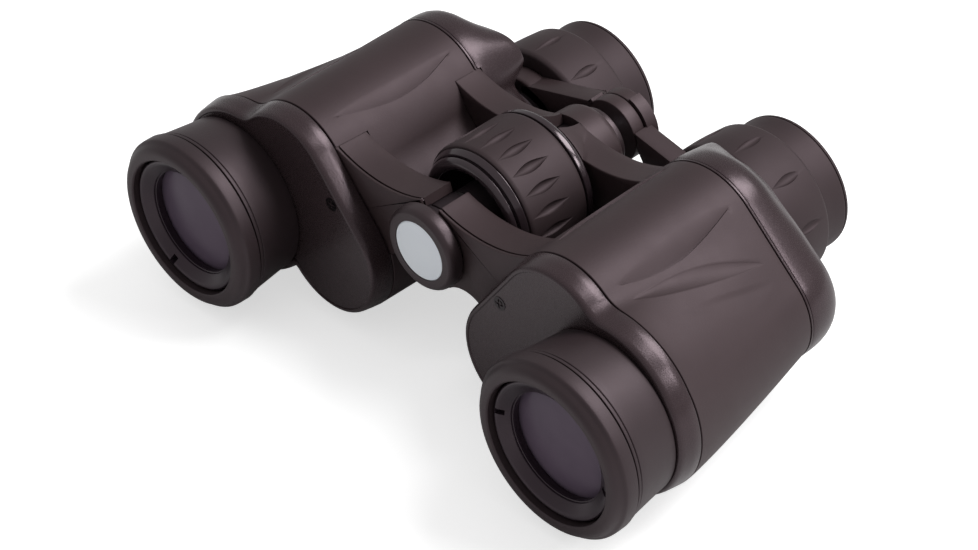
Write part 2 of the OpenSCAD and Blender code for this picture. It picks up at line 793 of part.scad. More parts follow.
module focus_wheel_sleeve() {
    dents = 20;
    dent_depth = 0.7;
    dent_r = 30;
    dent_y = sleeve_y + 6.7;
    color(rubber_black) at(hinge) difference() {
        tube(sleeve_r, drum_r, sleeve_y, sleeve_end_y);
        for (i = [0 : dents - 1]) rotate([0, 360 * i / dents, 0])
            translate([0, dent_y, sleeve_r + dent_r - dent_depth]) dent(dent_r);
    }
}

// Long narrow hollow, deepest in its middle
module dent(r) {
    intersection() {
        rotate([0, 90, 0]) cylinder(h = 2.4, r = r, center = true);
        translate([0, 0, -r]) cube([3, 11.6, 4], center = true);
    }
}

module wheel_front_ring() {
    color(gloss_black) at(hinge) turned([
        [drum_r - 1.4, wheel_y], [sleeve_r - 2.6, wheel_y], [sleeve_r - 1.6, wheel_y + 0.8],
        [sleeve_r - 1, sleeve_y - 0.6], [sleeve_r - 0.6, sleeve_y], [drum_r - 1.4, sleeve_y]]);
}

module wheel_rear_ring() {
    color(gloss_black) at(hinge) turned([
        [drum_r - 1.4, sleeve_end_y], [sleeve_r - 0.5, sleeve_end_y],
        [sleeve_r - 0.1, sleeve_end_y + 0.5], [sleeve_r - 0.1, wheel_end_y - 0.9],
        [sleeve_r - 0.8, wheel_end_y], [drum_r - 1.4, wheel_end_y]]);
}

module front_washer() {
    color(nylon) at(hinge) tube(wheel_hub_r, pin_r + running, front_arm_end_y + gap / 2,
        front_arm_end_y + gap / 2 + washer_t);
}

module rear_washer() {
    color(nylon) at(hinge) tube(wheel_hub_r + 1, hinge_tube_r + running, wheel_end_y + gap / 2,
        rear_arm_y - gap / 2);
}

module focus_rod() {
    color(steel) at(hinge) {
        bar(rod_r, rod_y, bridge_end_y);
        bar(rod_r + 2, bridge_end_y, bridge_end_y + rod_head_t);
    }
}

// ---------- bridge and eyepieces ----------

// Right-hand bridge arm; own_y to own_end_y is its ring on the focus rod
module bridge_arm(own_y, own_end_y, gap_angle, bore_r) {
    arm_top = hinge + [0, bridge_hub_r - 1];
    drop = eyepiece + [-1, collar_r - 3.4];
    color(satin_black) {
        difference() {
            union() {
                at(eyepiece) bar(collar_r, collar_y, collar_end_y);
                slab(collar_y, collar_end_y) difference() {
                    polygon([arm_top, drop, drop - [0, bridge_arm_h + 3],
                        arm_top - [0, bridge_arm_h + 1.4]]);
                    translate(hinge) wedge(-90, gap_angle, 30);
                }
            }
            at(eyepiece) bar(ocular_tube_r, collar_y - 1, collar_end_y + 1);
            at(hinge) bar(bridge_hub_r + gap, collar_y - 1, collar_end_y + 1);
        }
        difference() {
            slab(own_y, own_end_y) intersection() {
                translate(hinge) circle(bridge_hub_r + 2 * gap);
                translate(hinge) wedge(gap_angle, 150, 30);
            }
            at(hinge) bar(bore_r, own_y - 1, own_end_y + 1);
        }
        at(hinge) tube(bridge_hub_r, bore_r, own_y, own_end_y);
    }
}

module ocular_tube() {
    color(steel) at(eyepiece) tube(ocular_tube_r, cell_bore_r, ocular_tube_y, ocular_tube_end_y);
}

module eyepiece_grip() {
    lip_r = ocular_tube_r + running;
    bore_r = cell_r + running;
    color(rubber_black) at(eyepiece) turned([
        [lip_r, grip_y], [grip_r - 0.8, grip_y], [grip_r, grip_y + 0.8],
        [grip_r, grip_y + 0.45 * grip_len], [grip_end_r, grip_end_y - 0.8],
        [grip_end_r - 0.6, grip_end_y], [eyecup_r + gap, grip_end_y],
        [eyecup_r + gap, grip_end_y - counterbore_depth], [bore_r, grip_end_y - counterbore_depth],
        [bore_r, grip_y + grip_lip_t], [lip_r, grip_y + grip_lip_t]]);
}

module ocular_cell() {
    color(matt_black) at(eyepiece) turned([
        [field_lens_r - 0.8, cell_front_y], [cell_nose_r, cell_front_y], [cell_nose_r, cell_step_y],
        [cell_r, cell_step_y], [cell_r, cell_end_y], [eye_lens_r - 1.2, cell_end_y],
        [eye_lens_r - 1.2, eye_lens_end_y], [eye_lens_r, eye_lens_end_y],
        [eye_lens_r, eye_lens_y - 1], [field_lens_r, eye_lens_y - 1],
        [field_lens_r, field_lens_y], [field_lens_r - 0.8, field_lens_y]]);
}

// Lens with two spherical faces between y0 and y1
module lens(r, y0, y1, cr) {
    at(eyepiece) turned(concat(dome(cr, r, y0, 1), reversed(dome(cr, r, y1, -1))));
}

module field_lens() {
    color(coated_glass) lens(field_lens_r, field_lens_y, field_lens_end_y, field_curve_r);
}

module lens_spacer() {
    bore_r = field_lens_r - 0.8;
    edge_y = field_lens_end_y - sag(field_curve_r, bore_r) + seat;
    color(matt_black) at(eyepiece) tube(field_lens_r, bore_r, edge_y, eye_lens_y);
}

module eye_lens() {
    color(coated_glass) lens(eye_lens_r, eye_lens_y, eye_lens_end_y, eye_curve_r);
}

module eyecup() {
    bore_r = cell_r;
    color(rubber_black) at(eyepiece) turned([
        [bore_r, eyecup_y], [eyecup_r - 0.6, eyecup_y], [eyecup_r - 0.6, grip_end_y + 0.2],
        [eyecup_r, grip_end_y + 0.2], [eyecup_r, grip_end_y + 4.6],
        [eyecup_r - 0.25, grip_end_y + 5.4], [eyecup_r - 0.1, end_y - 0.9],
        [eyecup_r - 0.5, end_y - 0.2], [eyecup_r - cup_lip, end_y],
        [bore_r + 0.9, end_y - 0.1], [bore_r + 0.3, end_y - 1],
        [bore_r - 0.6, cell_end_y + 1.2], [bore_r - 2, cell_end_y], [bore_r, cell_end_y]]);
}

on_left() objective_rim();  // left_objective_rim
objective_rim();  // right_objective_rim
on_left() objective_barrel();  // left_objective_barrel
objective_barrel();  // right_objective_barrel
on_left() retaining_ring();  // left_retaining_ring
retaining_ring();  // right_retaining_ring
on_left() objective_crown();  // left_objective_crown
objective_crown();  // right_objective_crown
on_left() objective_flint();  // left_objective_flint
objective_flint();  // right_objective_flint
on_left() front_cover();  // left_front_cover
front_cover();  // right_front_cover
on_left() body_shell();  // left_body_shell
body_shell();  // right_body_shell
on_left() rear_cover();  // left_rear_cover
rear_cover();  // right_rear_cover
on_left() prism_shelf();  // left_prism_shelf
prism_shelf();  // right_prism_shelf
on_left() front_prism();  // left_front_prism
front_prism();  // right_front_prism
on_left() rear_prism();  // left_rear_prism
rear_prism();  // right_rear_prism
on_left() prism_clips();  // left_prism_clips
prism_clips();  // right_prism_clips
on_left() cover_screws();  // left_cover_screws
cover_screws();  // right_cover_screws
on_left() guide_tube();  // left_guide_tube
guide_tube();  // right_guide_tube
on_left() front_arm(front_arm_y, front_split_y - gap / 2, pin_r);  // left_front_arm
front_arm(front_split_y + gap / 2, front_arm_end_y, pin_r + running);  // right_front_arm
on_left() rear_arm(rear_arm_y, rear_split_y - gap / 2, hinge_tube_r);  // left_rear_arm
union() {  // right_rear_arm
    rear_arm(rear_split_y + gap / 2, rear_arm_end_y, hinge_tube_r + running);
    right_rear_boss();
}
on_left() bridge_arm(collar_y, bridge_split_y - gap / 2, bridge_gap_left, rod_r);  // left_bridge_arm
bridge_arm(bridge_split_y + gap / 2, bridge_end_y - gap, bridge_gap_right, rod_r + running);  // right_bridge_arm
on_left() ocular_tube();  // left_ocular_tube
ocular_tube();  // right_ocular_tube
on_left() eyepiece_grip();  // left_eyepiece_grip
eyepiece_grip();  // right_diopter_grip
on_left() ocular_cell();  // left_ocular_cell
ocular_cell();  // right_ocular_cell
on_left() field_lens();  // left_field_lens
field_lens();  // right_field_lens
on_left() lens_spacer();  // left_lens_spacer
lens_spacer();  // right_lens_spacer
on_left() eye_lens();  // left_eye_lens
eye_lens();  // right_eye_lens
on_left() eyecup();  // left_eyecup
eyecup();  // right_eyecup
hinge_pin();
hinge_tube();
hinge_nut();
hinge_cap();
cap_disc();
focus_wheel_core();
focus_wheel_sleeve();
wheel_front_ring();
wheel_rear_ring();
front_washer();
rear_washer();
focus_rod();
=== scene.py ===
"""Porro-prism binoculars with centre focusing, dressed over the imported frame.

Every piece is worked on in millimetres, in the frame's own axes: X across the two halves, Y from
the objectives back to the eyepieces, Z up. Taking it off the bench turns it into metres. The
right-hand pieces are modelled first and the left-hand ones are mirrored copies with meshes of
their own. Left and right are as seen from the front, so right is towards +X.
"""
from __future__ import annotations

import sys

import json
import logging
import math
from contextlib import contextmanager
from dataclasses import dataclass, field
from enum import Enum
from typing import Any, Callable, Iterator, NamedTuple, Sequence, Union

import bmesh
import bpy
from mathutils import Matrix, Vector


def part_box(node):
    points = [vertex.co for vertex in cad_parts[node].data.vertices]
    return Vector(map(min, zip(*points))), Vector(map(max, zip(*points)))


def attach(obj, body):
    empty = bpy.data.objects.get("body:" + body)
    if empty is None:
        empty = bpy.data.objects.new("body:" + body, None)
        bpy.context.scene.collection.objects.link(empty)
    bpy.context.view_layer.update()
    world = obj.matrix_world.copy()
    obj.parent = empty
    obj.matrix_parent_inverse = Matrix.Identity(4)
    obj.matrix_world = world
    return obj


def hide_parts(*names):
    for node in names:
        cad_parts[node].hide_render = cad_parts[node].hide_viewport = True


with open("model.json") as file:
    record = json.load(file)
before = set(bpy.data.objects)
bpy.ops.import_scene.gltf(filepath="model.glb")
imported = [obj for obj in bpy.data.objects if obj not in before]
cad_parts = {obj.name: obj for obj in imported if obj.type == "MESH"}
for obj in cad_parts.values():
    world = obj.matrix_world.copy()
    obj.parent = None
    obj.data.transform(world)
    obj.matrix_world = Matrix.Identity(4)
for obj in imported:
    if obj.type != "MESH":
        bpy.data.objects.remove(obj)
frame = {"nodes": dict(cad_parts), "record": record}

MM = 0.001
LOG = logging.getLogger("binoculars")


# ---------- places in the frame ----------


class Side(Enum):
    """The two halves of the instrument."""

    LEFT = "left"
    RIGHT = "right"


class Point(NamedTuple):
    """A place in the section across the instrument, in millimetres."""

    x: float
    z: float

    def __add__(self, other: tuple[float, float]) -> "Point":
        """Moves the place by a step."""
        return Point(self.x + other[0], self.z + other[1])

    def toward(self, angle: float, distance: float) -> "Point":
        """Returns the place at a distance in a direction given in degrees from X towards Z."""
        turn = math.radians(angle)
        return Point(self.x + distance * math.cos(turn), self.z + distance * math.sin(turn))


@dataclass(frozen=True)
class Span:
    """Where a CAD part stands: its axis, its ends along Y and its radius, in millimetres."""

    axis: Point
    y0: float
    y1: float
    r: float

    @classmethod
    def of(cls, node: str) -> "Span":
        """Measures a CAD node.

        Args:
            node: Name of the node.

        Returns:
            The span of the node at rest.
        """
        low, high = (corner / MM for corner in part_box(node))
        axis = Point((low.x + high.x) / 2, (low.z + high.z) / 2)
        return cls(axis, low.y, high.y, (high.x - low.x) / 2)


def measured(node: str, part: str = "") -> Any:
    """Returns a dataclass field that holds the span of a CAD node, or one part of the span."""
    return field(default_factory=lambda: getattr(Span.of(node), part) if part else Span.of(node))


def spread(first: float, last: float, steps: int, skip: int = 0) -> list[float]:
    """Returns even steps from first to last, both ends included; skip leaves out the first few."""
    return [first + (last - first) * i / steps for i in range(skip, steps + 1)]


def body_of(node: str) -> str:
    """Returns the name of the body that a CAD node moves with."""
    for body, members in frame["record"]["behaviour"]["bodies"].items():
        if node in members:
            return body
    raise KeyError(node)


def smooth_step(low: float, high: float, value: float) -> float:
    """Rises from 0 at low to 1 at high, level at both ends."""
    share = min(max((value - low) / (high - low), 0.0), 1.0)
    return share * share * (3 - 2 * share)


# ---------- the bench ----------


class Corner(NamedTuple):
    """A corner of a turned profile: radius, station along Y and length of its rounding."""

    r: float
    y: float
    soft: float = 0.0


Spot = tuple[float, float, float]
Ring = Sequence[Spot]


class Workpiece:
    """A mesh on the bench, shaped in edit mode and measured in millimetres."""

    def __init__(self, obj: bpy.types.Object) -> None:
        """Takes an object that lies in place at the origin."""
        self.obj = obj

    @staticmethod
    def clear_selection() -> None:
        """Deselects every object, so that an operator acts on the next piece alone."""
        if bpy.context.object is not None and bpy.context.object.mode != "OBJECT":
            bpy.ops.object.mode_set(mode="OBJECT")
        bpy.ops.object.select_all(action="DESELECT")

    def activate(self) -> None:
        """Makes this the one selected object."""
        self.clear_selection()
        self.obj.select_set(True)
        bpy.context.view_layer.objects.active = self.obj

    @contextmanager
    def edit(self) -> Iterator["Workpiece"]:
        """Holds the piece in edit mode, with nothing selected at first."""
        self.activate()
        bpy.ops.object.mode_set(mode="EDIT")
        bpy.ops.mesh.select_mode(type="VERT")
        bpy.ops.mesh.select_all(action="DESELECT")
        try:
            yield self
        finally:
            bpy.ops.object.mode_set(mode="OBJECT")

    def pick(self, test: Callable[[Vector], bool]) -> int:
        """Selects the corners whose place passes a test, and nothing else.

        Args:
            test: Function of the corner's place.

        Returns:
            The number of corners selected.
        """
        bpy.ops.mesh.select_all(action="DESELECT")
        mesh = bmesh.from_edit_mesh(self.obj.data)
        found = 0
        for vert in mesh.verts:
            if test(vert.co):
                vert.select_set(True)
                found += 1
        mesh.select_flush_mode()
        bmesh.update_edit_mesh(self.obj.data)
        return found

    def close_up(self, merge: float = 0.002) -> None:
        """Merges doubles, drops loose edges and turns all faces outwards."""
        with self.edit():
            bpy.ops.mesh.select_all(action="SELECT")
            bpy.ops.mesh.remove_doubles(threshold=merge)
            bpy.ops.mesh.select_all(action="SELECT")
            bpy.ops.mesh.delete_loose()
            bpy.ops.mesh.select_all(action="SELECT")
            bpy.ops.mesh.normals_make_consistent(inside=False)

    @classmethod
    def circle(cls, name: str, corners: int) -> "Workpiece":
        """Starts a piece as a wire circle that faces along Y."""
        cls.clear_selection()
        bpy.ops.mesh.primitive_circle_add(
            vertices=corners, radius=10, location=(0, 0, 0), rotation=(math.pi / 2, 0, 0)
        )
        obj = bpy.context.active_object
        obj.name = obj.data.name = name
        bpy.ops.object.transform_apply(location=True, rotation=True, scale=True)
        return cls(obj)

    @classmethod
    def turned(
        cls, name: str, axis: Point, profile: Sequence[Sequence[float]], steps: int = 144,
        arc: int = 5
    ) -> "Workpiece":
        """Turns a profile round an axis along Y, as on a lathe.

        Args:
            name: Name of the piece.
            axis: Axis of the lathe.
            profile: Its corners, each as the values of a Corner; a closed loop, or open where it
                begins and ends on the axis.
            steps: Steps of the full turn.
            arc: Segments of each rounding.

        Returns:
            The closed piece.
        """
        corners = [Corner(*values) for values in profile]
        piece = cls.circle(name, len(corners))
        for vertex, corner in zip(piece.obj.data.vertices, corners):
            vertex.co = (axis.x + corner.r, corner.y, axis.z)
        with piece.edit():
            if corners[0].r == 0 and corners[-1].r == 0:
                piece.pick(lambda co: abs(co.x - axis.x) < 1e-4)
                bpy.ops.mesh.delete(type="EDGE")
            for soft in sorted({corner.soft for corner in corners if corner.soft}):
                ends = [c for c in corners if c.soft == soft]
                piece.pick(
                    lambda co: any(
                        abs(co.x - axis.x - c.r) < 1e-4 and abs(co.y - c.y) < 1e-4 for c in ends
                    )
                )
                bpy.ops.mesh.bevel(offset=soft, segments=arc, affect="VERTICES", clamp_overlap=True)
            bpy.ops.mesh.select_all(action="SELECT")
            bpy.ops.mesh.spin(
                steps=steps, angle=2 * math.pi, center=(axis.x, 0, axis.z), axis=(0, 1, 0)
            )
        piece.close_up()
        return piece

    @classmethod
    def lofted(cls, name: str, rings: Sequence[Ring], closed: bool = False) -> "Workpiece":
        """Draws a ring out again and again and sets the corners of each ring in place.

        Args:
            name: Name of the piece.
            rings: Rings with the same number of corners, in order.
            closed: Whether the last ring joins the first; otherwise both ends get a face.

        Returns:
            The closed piece.
        """
        count = len(rings[0])
        last = len(rings) if closed else len(rings) - 1
        piece = cls.circle(name, count)
        with piece.edit():
            bpy.ops.mesh.select_all(action="SELECT")
            for _ in range(last):
                bpy.ops.mesh.extrude_region_move(TRANSFORM_OT_translate={"value": (0, 1, 0)})
            if not closed:
                for end in (0, last):
                    piece.pick(lambda co: abs(co.y - end) < 0.25)
                    bpy.ops.mesh.edge_face_add()
        step = 2 * math.pi / count
        for vertex in piece.obj.data.vertices:
            turn = math.atan2(vertex.co.z, vertex.co.x) - math.pi / 2
            ring = rings[round(vertex.co.y) % len(rings)]
            vertex.co = ring[round(turn / step) % count]
        piece.close_up()
        return piece

    def use(self, kind: str, **settings: Any) -> None:
        """Adds a modifier with its settings and applies it."""
        self.activate()
        modifier = self.obj.modifiers.new(kind.title(), kind)
        for key, value in settings.items():
            setattr(modifier, key, value)
        bpy.ops.object.modifier_apply(modifier=modifier.name)

    def cut(self, *cutters: "Workpiece") -> "Workpiece":
        """Cuts other pieces out of this one and throws them away."""
        for cutter in cutters:
            self.use("BOOLEAN", object=cutter.obj, operation="DIFFERENCE", solver="EXACT")
            bpy.data.objects.remove(cutter.obj)
        return self

    def add(self, *others: "Workpiece") -> "Workpiece":
        """Makes other pieces part of this object."""
        if others:
            self.activate()
            for other in others:
                other.obj.select_set(True)
            bpy.ops.object.join()
        return self

    def copy(self, name: str) -> "Workpiece":
        """Copies the piece with a mesh of its own."""
        obj = self.obj.copy()
        obj.data = self.obj.data.copy()
        obj.name = obj.data.name = name
        bpy.context.scene.collection.objects.link(obj)
        return Workpiece(obj)

    def moved(self, axis: Point, y: float = 0.0) -> "Workpiece":
        """Moves a piece made round the origin to an axis and a station."""
        self.obj.data.transform(Matrix.Translation((axis.x, y, axis.z)))
        return self

    def turned_by(self, degrees: float, axis: Point) -> "Workpiece":
        """Turns the piece round an axis along Y."""
        centre = Matrix.Translation((axis.x, 0, axis.z))
        turn = Matrix.Rotation(math.radians(degrees), 4, "Y")
        self.obj.data.transform(centre @ turn @ centre.inverted())
        return self

    def mirrored(self, name: str) -> "Workpiece":
        """Makes the left-hand copy of a right-hand piece."""
        twin = self.copy(name)
        with twin.edit():
            bpy.ops.mesh.select_all(action="SELECT")
            bpy.ops.transform.resize(value=(-1, 1, 1), center_override=(0, 0, 0))
            bpy.ops.mesh.normals_make_consistent(inside=False)
        return twin

    def take_off(self, angle: float = 30) -> bpy.types.Object:
        """Smooths the piece up to an angle in degrees and turns it into metres."""
        self.activate()
        self.obj.scale = (MM, MM, MM)
        bpy.ops.object.transform_apply(location=True, rotation=True, scale=True)
        bpy.ops.object.shade_smooth_by_angle(angle=math.radians(angle))
        return self.obj


# ---------- finishes ----------


Plug = Union["Value", bpy.types.NodeSocket, float, tuple]


class Value:
    """A number that flows through a material, written as an expression."""

    def __init__(self, graph: "Graph", socket: bpy.types.NodeSocket) -> None:
        """Wraps the socket that gives the number."""
        self.graph = graph
        self.socket = socket

    def _math(self, operation: str, *terms: Plug) -> "Value":
        """Adds one Math node."""
        node = self.graph.node("ShaderNodeMath", {"operation": operation}, dict(enumerate(terms)))
        return Value(self.graph, node.outputs[0])

    def __add__(self, other: Plug) -> "Value":
        """Adds a number."""
        return self._math("ADD", self, other)

    __radd__ = __add__

    def __sub__(self, other: Plug) -> "Value":
        """Takes a number away."""
        return self._math("SUBTRACT", self, other)

    def __rsub__(self, other: Plug) -> "Value":
        """Takes this number from another."""
        return self._math("SUBTRACT", other, self)

    def __mul__(self, other: Plug) -> "Value":
        """Multiplies by a number."""
        return self._math("MULTIPLY", self, other)

    __rmul__ = __mul__

    def between(self, low: float, high: float) -> "Value":
        """Rises smoothly from 0 at low to 1 at high."""
        node = self.graph.node(
            "ShaderNodeMapRange",
            {"interpolation_type": "SMOOTHSTEP"},
            {0: self, 1: low, 2: high, 3: 0.0, 4: 1.0},
        )
        return Value(self.graph, node.outputs[0])


class Graph:
    """The nodes of one material or world."""

    def __init__(self, block: bpy.types.ID) -> None:
        """Empties the node tree of a material or world."""
        self.block = block
        block.use_nodes = True
        self.tree = block.node_tree
        self.tree.nodes.clear()

    def node(self, kind: str, settings: dict[str, Any], inputs: dict[Any, Plug]) -> bpy.types.Node:
        """Adds any node.

        Args:
            kind: Type of the node.
            settings: Its properties, set first.
            inputs: Values or links of its sockets, by name or number.

        Returns:
            The new node.
        """
        made = self.tree.nodes.new(kind)
        for key, value in settings.items():
            setattr(made, key, value)
        for key, value in inputs.items():
            socket = made.inputs[key]
            if isinstance(value, Value):
                value = value.socket
            if isinstance(value, bpy.types.NodeSocket):
                self.tree.links.new(value, socket)
            else:
                socket.default_value = value
        return made

    def place(self, scale: tuple[float, float, float] = (1, 1, 1)) -> bpy.types.NodeSocket:
        """Gives object coordinates, stretched by a scale."""
        source = self.node("ShaderNodeTexCoord", {}, {}).outputs["Object"]
        if scale == (1, 1, 1):
            return source
        return self.node("ShaderNodeMapping", {}, {"Vector": source, "Scale": scale}).outputs[0]

    def noise(self, size: float, detail: float = 2.0, stretch: tuple = (1, 1, 1)) -> Value:
        """Gives noise from 0 to 1 whose lumps are about a size in millimetres."""
        made = self.node(
            "ShaderNodeTexNoise",
            {"noise_dimensions": "3D"},
            {"Vector": self.place(stretch), "Scale": 1 / (size * MM), "Detail": detail},
        )
        return Value(self, made.outputs[0])

    def mix(self, share: Plug, first: tuple, second: tuple) -> bpy.types.NodeSocket:
        """Mixes two colours by a share."""
        made = self.node(
            "ShaderNodeMix",
            {"data_type": "RGBA"},
            {0: share, 6: (*first, 1), 7: (*second, 1)},
        )
        return made.outputs[2]

    def bump(self, height: Value, depth: float) -> bpy.types.NodeSocket:
        """Turns a height from 0 to 1 into a normal; the depth is in millimetres."""
        made = self.node(
            "ShaderNodeBump", {}, {"Height": height, "Distance": depth * MM, "Strength": 1.0}
        )
        return made.outputs[0]

    def surface(self, **sockets: Plug) -> bpy.types.Material:
        """Closes the material with a Principled shader.

        Args:
            sockets: Its sockets, with underscores for spaces.

        Returns:
            The finished material.
        """
        shader = self.node(
            "ShaderNodeBsdfPrincipled", {}, {k.replace("_", " "): v for k, v in sockets.items()}
        )
        self.node("ShaderNodeOutputMaterial", {}, {"Surface": shader.outputs[0]})
        return self.block


Colour = tuple[float, float, float]


@dataclass(frozen=True)
class Finish:
    """A surface finish, which also holds the name of a slot in the record."""

    name: str
    slot: str

    def make(self) -> bpy.types.Material:
        """Builds the material, or returns it where it is already there."""
        known = bpy.data.materials.get(self.name)
        return known or self.mix_up(Graph(bpy.data.materials.new(self.name)))

    def mix_up(self, graph: Graph) -> bpy.types.Material:
        """Builds the nodes of the finish."""
        raise NotImplementedError


@dataclass(frozen=True)
class Moulded(Finish):
    """Plastic or rubber out of a mould, with a fine sparked grain."""

    colour: Colour = (0.031, 0.0198, 0.0206)
    cloud: Colour = (0.0272, 0.0172, 0.018)
    rough: float = 0.54
    uneven: float = 0.08
    grain: float = 0.42
    grain_depth: float = 0.04
    speckle: float = 0.0
    coat: float = 0.0

    def mix_up(self, graph: Graph) -> bpy.types.Material:
        """Builds clouds in the colour, an uneven sheen and the grain."""
        clouds = graph.noise(14, 3).between(0.3, 0.7)
        grain = graph.noise(self.grain, 2)
        fine = graph.noise(self.grain * 0.42, 1)
        patches = graph.noise(4.5, 3)
        sheen = patches * self.uneven + (self.rough - self.uneven / 2)
        if self.speckle:
            sheen = sheen + (fine.between(0.5, 0.72) * self.speckle)
        height = grain * 0.65 + fine * 0.35
        return graph.surface(
            Base_Color=graph.mix(clouds, self.colour, self.cloud),
            Roughness=sheen,
            Specular_Tint=(1.0, 0.8, 0.88, 1.0),
            Coat_Weight=self.coat,
            Coat_Roughness=0.18,
            Normal=graph.bump(height, self.grain_depth),
        )


@dataclass(frozen=True)
class Metal(Finish):
    """Turned or ground metal with marks that run round or along it."""

    colour: Colour = (0.6, 0.6, 0.62)
    rough: float = 0.28
    marks: float = 0.12
    along: tuple[float, float, float] = (0.06, 1, 0.06)

    def mix_up(self, graph: Graph) -> bpy.types.Material:
        """Builds tool marks and a little unevenness."""
        tool = graph.noise(self.marks, 2, self.along)
        patches = graph.noise(5, 3)
        worn = tuple(0.82 * part for part in self.colour)
        return graph.surface(
            Base_Color=graph.mix(patches.between(0.35, 0.7), self.colour, worn),
            Metallic=1.0,
            Roughness=patches * 0.12 + tool * 0.1 + (self.rough - 0.1),
            Normal=graph.bump(tool, 0.004),
        )


@dataclass(frozen=True)
class Glass(Finish):
    """Polished glass over a dark inside, with a coating that tints its reflection."""

    colour: Colour = (0.05, 0.035, 0.055)
    haze: Colour = (0.036, 0.026, 0.042)
    rough: float = 0.04
    ior: float = 1.6
    through: float = 0.0

    def mix_up(self, graph: Graph) -> bpy.types.Material:
        """Builds the coating's soft clouds under a smooth face."""
        clouds = graph.noise(11, 2).between(0.3, 0.72)
        dust = graph.noise(0.5, 2).between(0.62, 0.8)
        return graph.surface(
            Base_Color=graph.mix(clouds, self.colour, self.haze),
            Roughness=dust * 0.04 + self.rough,
            IOR=self.ior,
            Transmission_Weight=self.through,
            Coat_Weight=0.06,
            Coat_Roughness=0.12,
            Coat_Tint=(0.82, 0.7, 1.0, 1.0),
        )


SATIN = Moulded("satin_case", "satin_black")
TRIM = Moulded(
    "trim_grain", "gloss_black", (0.03, 0.0198, 0.0215), (0.026, 0.017, 0.0185),
    rough=0.25, uneven=0.06, grain=0.34, grain_depth=0.03, speckle=0.16)
ARM = Moulded(
    "satin_arm", "satin_black", (0.0335, 0.0212, 0.022), (0.029, 0.0184, 0.0192),
    rough=0.48, uneven=0.06, grain=0.3, grain_depth=0.04)
RUBBER = Moulded(
    "soft_rubber", "rubber_black", (0.026, 0.0168, 0.0176), (0.0225, 0.0146, 0.0152),
    rough=0.6, uneven=0.06, grain=0.34, grain_depth=0.03)
CAP = Moulded(
    "satin_cap", "gloss_black", (0.03, 0.021, 0.0225), (0.026, 0.018, 0.0195),
    rough=0.36, grain=0.3, grain_depth=0.04)
GLOSS = Moulded(
    "gloss_ring", "gloss_black", (0.026, 0.018, 0.021), (0.022, 0.015, 0.018),
    rough=0.16, uneven=0.05, grain=0.6, grain_depth=0.004, coat=0.4)
RIM = Moulded(
    "rim_paint", "satin_black", (0.0255, 0.0172, 0.0185), (0.022, 0.0148, 0.0162),
    rough=0.48, uneven=0.06, grain=0.3, grain_depth=0.04)
MATT = Moulded(
    "matt_inside", "matt_black", (0.008, 0.005, 0.006), (0.006, 0.0035, 0.0045),
    rough=0.7, uneven=0.06, grain=0.25, grain_depth=0.02)
ANODISED = Moulded(
    "anodised_ring", "matt_black", (0.02, 0.013, 0.018), (0.016, 0.0105, 0.015),
    rough=0.32, uneven=0.05, grain=0.4, grain_depth=0.006)
DISC = Moulded(
    "pale_disc", "cap_grey", (0.9, 0.95, 1.0), (0.87, 0.92, 0.98),
    rough=0.34, uneven=0.06, grain=0.4, grain_depth=0.006, coat=0.2)
NYLON = Moulded(
    "dark_nylon", "nylon", (0.06, 0.054, 0.054), (0.05, 0.045, 0.045),
    rough=0.45, grain=0.5, grain_depth=0.01)
# Front and eye lenses: the violet tint is the coating's own, but the light grey brightness of the
# base colour is painted reflection, standing in for the coating's reflection of the bright
# surroundings.
LENS = Glass(
    "violet_glass", "coated_glass", (0.094, 0.07, 0.098), (0.112, 0.084, 0.114), 0.3, 1.22)
PRISM = Glass(
    "prism_glass", "clear_glass", (0.7, 0.76, 0.76), (0.62, 0.7, 0.7), 0.02, 1.57, 0.9)
STEEL = Metal("ground_steel", "steel")
BLUED = Metal("blackened_screw", "blackened_steel", (0.05, 0.043, 0.046), 0.26)


def dress(piece: Workpiece, finish: Finish, *nodes: str, angle: float = 30) -> bpy.types.Object:
    """Takes a piece off the bench, finishes it and seats it on its body.

    Args:
        piece: The piece.
        finish: Its finish.
        nodes: CAD nodes that it stands for; the first also names its body.
        angle: Sharpest angle that is still smoothed, in degrees.

    Returns:
        The finished object.
    """
    obj = piece.take_off(angle)
    obj.data.materials.clear()
    obj.data.materials.append(finish.make())
    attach(obj, body_of(nodes[0]))
    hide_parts(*nodes)
    LOG.info("%s: %d faces, %s", obj.name, len(obj.data.polygons), finish.name)
    return obj


def dress_pair(piece: Workpiece, finish: Finish, node: str, angle: float = 30) -> None:
    """Finishes a right-hand piece and its mirrored copy.

    Args:
        piece: The right-hand piece, named with a leading right_.
        finish: Finish of both.
        node: Name of the CAD nodes without their side.
        angle: Sharpest angle that is still smoothed, in degrees.
    """
    name = piece.obj.name
    twin = piece.mirrored(name.replace("right_", "left_"))
    for side, half in ((Side.RIGHT, piece), (Side.LEFT, twin)):
        dress(half, finish, f"{side.value}_{node}", angle=angle)


# ---------- shapes used more than once ----------


def sector(name: str, axis: Point, arc: tuple[float, float, int], radii: tuple[float, float],
           ends: tuple[float, float]) -> Workpiece:
    """Lofts part of a tube round an axis.

    Args:
        name: Name of the piece.
        axis: The axis, along Y.
        arc: Its first and last angle in degrees from Z towards X, and its steps.
        radii: Its inner and outer radius.
        ends: Its ends along Y.

    Returns:
        The closed piece.
    """
    angles = [math.radians(degrees) for degrees in spread(*arc)]
    loop = [(radii[0], a) for a in angles] + [(radii[1], a) for a in reversed(angles)]
    return Workpiece.lofted(name, [
        [(axis.x + r * math.sin(a), y, axis.z + r * math.cos(a)) for r, a in loop] for y in ends])


def dome(r: float, curve: float, steps: int) -> list[tuple[float, float]]:
    """Returns a spherical face from its middle to a radius, with its depth below the middle."""
    return [(at, curve - math.sqrt(curve ** 2 - at * at)) for at in spread(0, r, steps)]


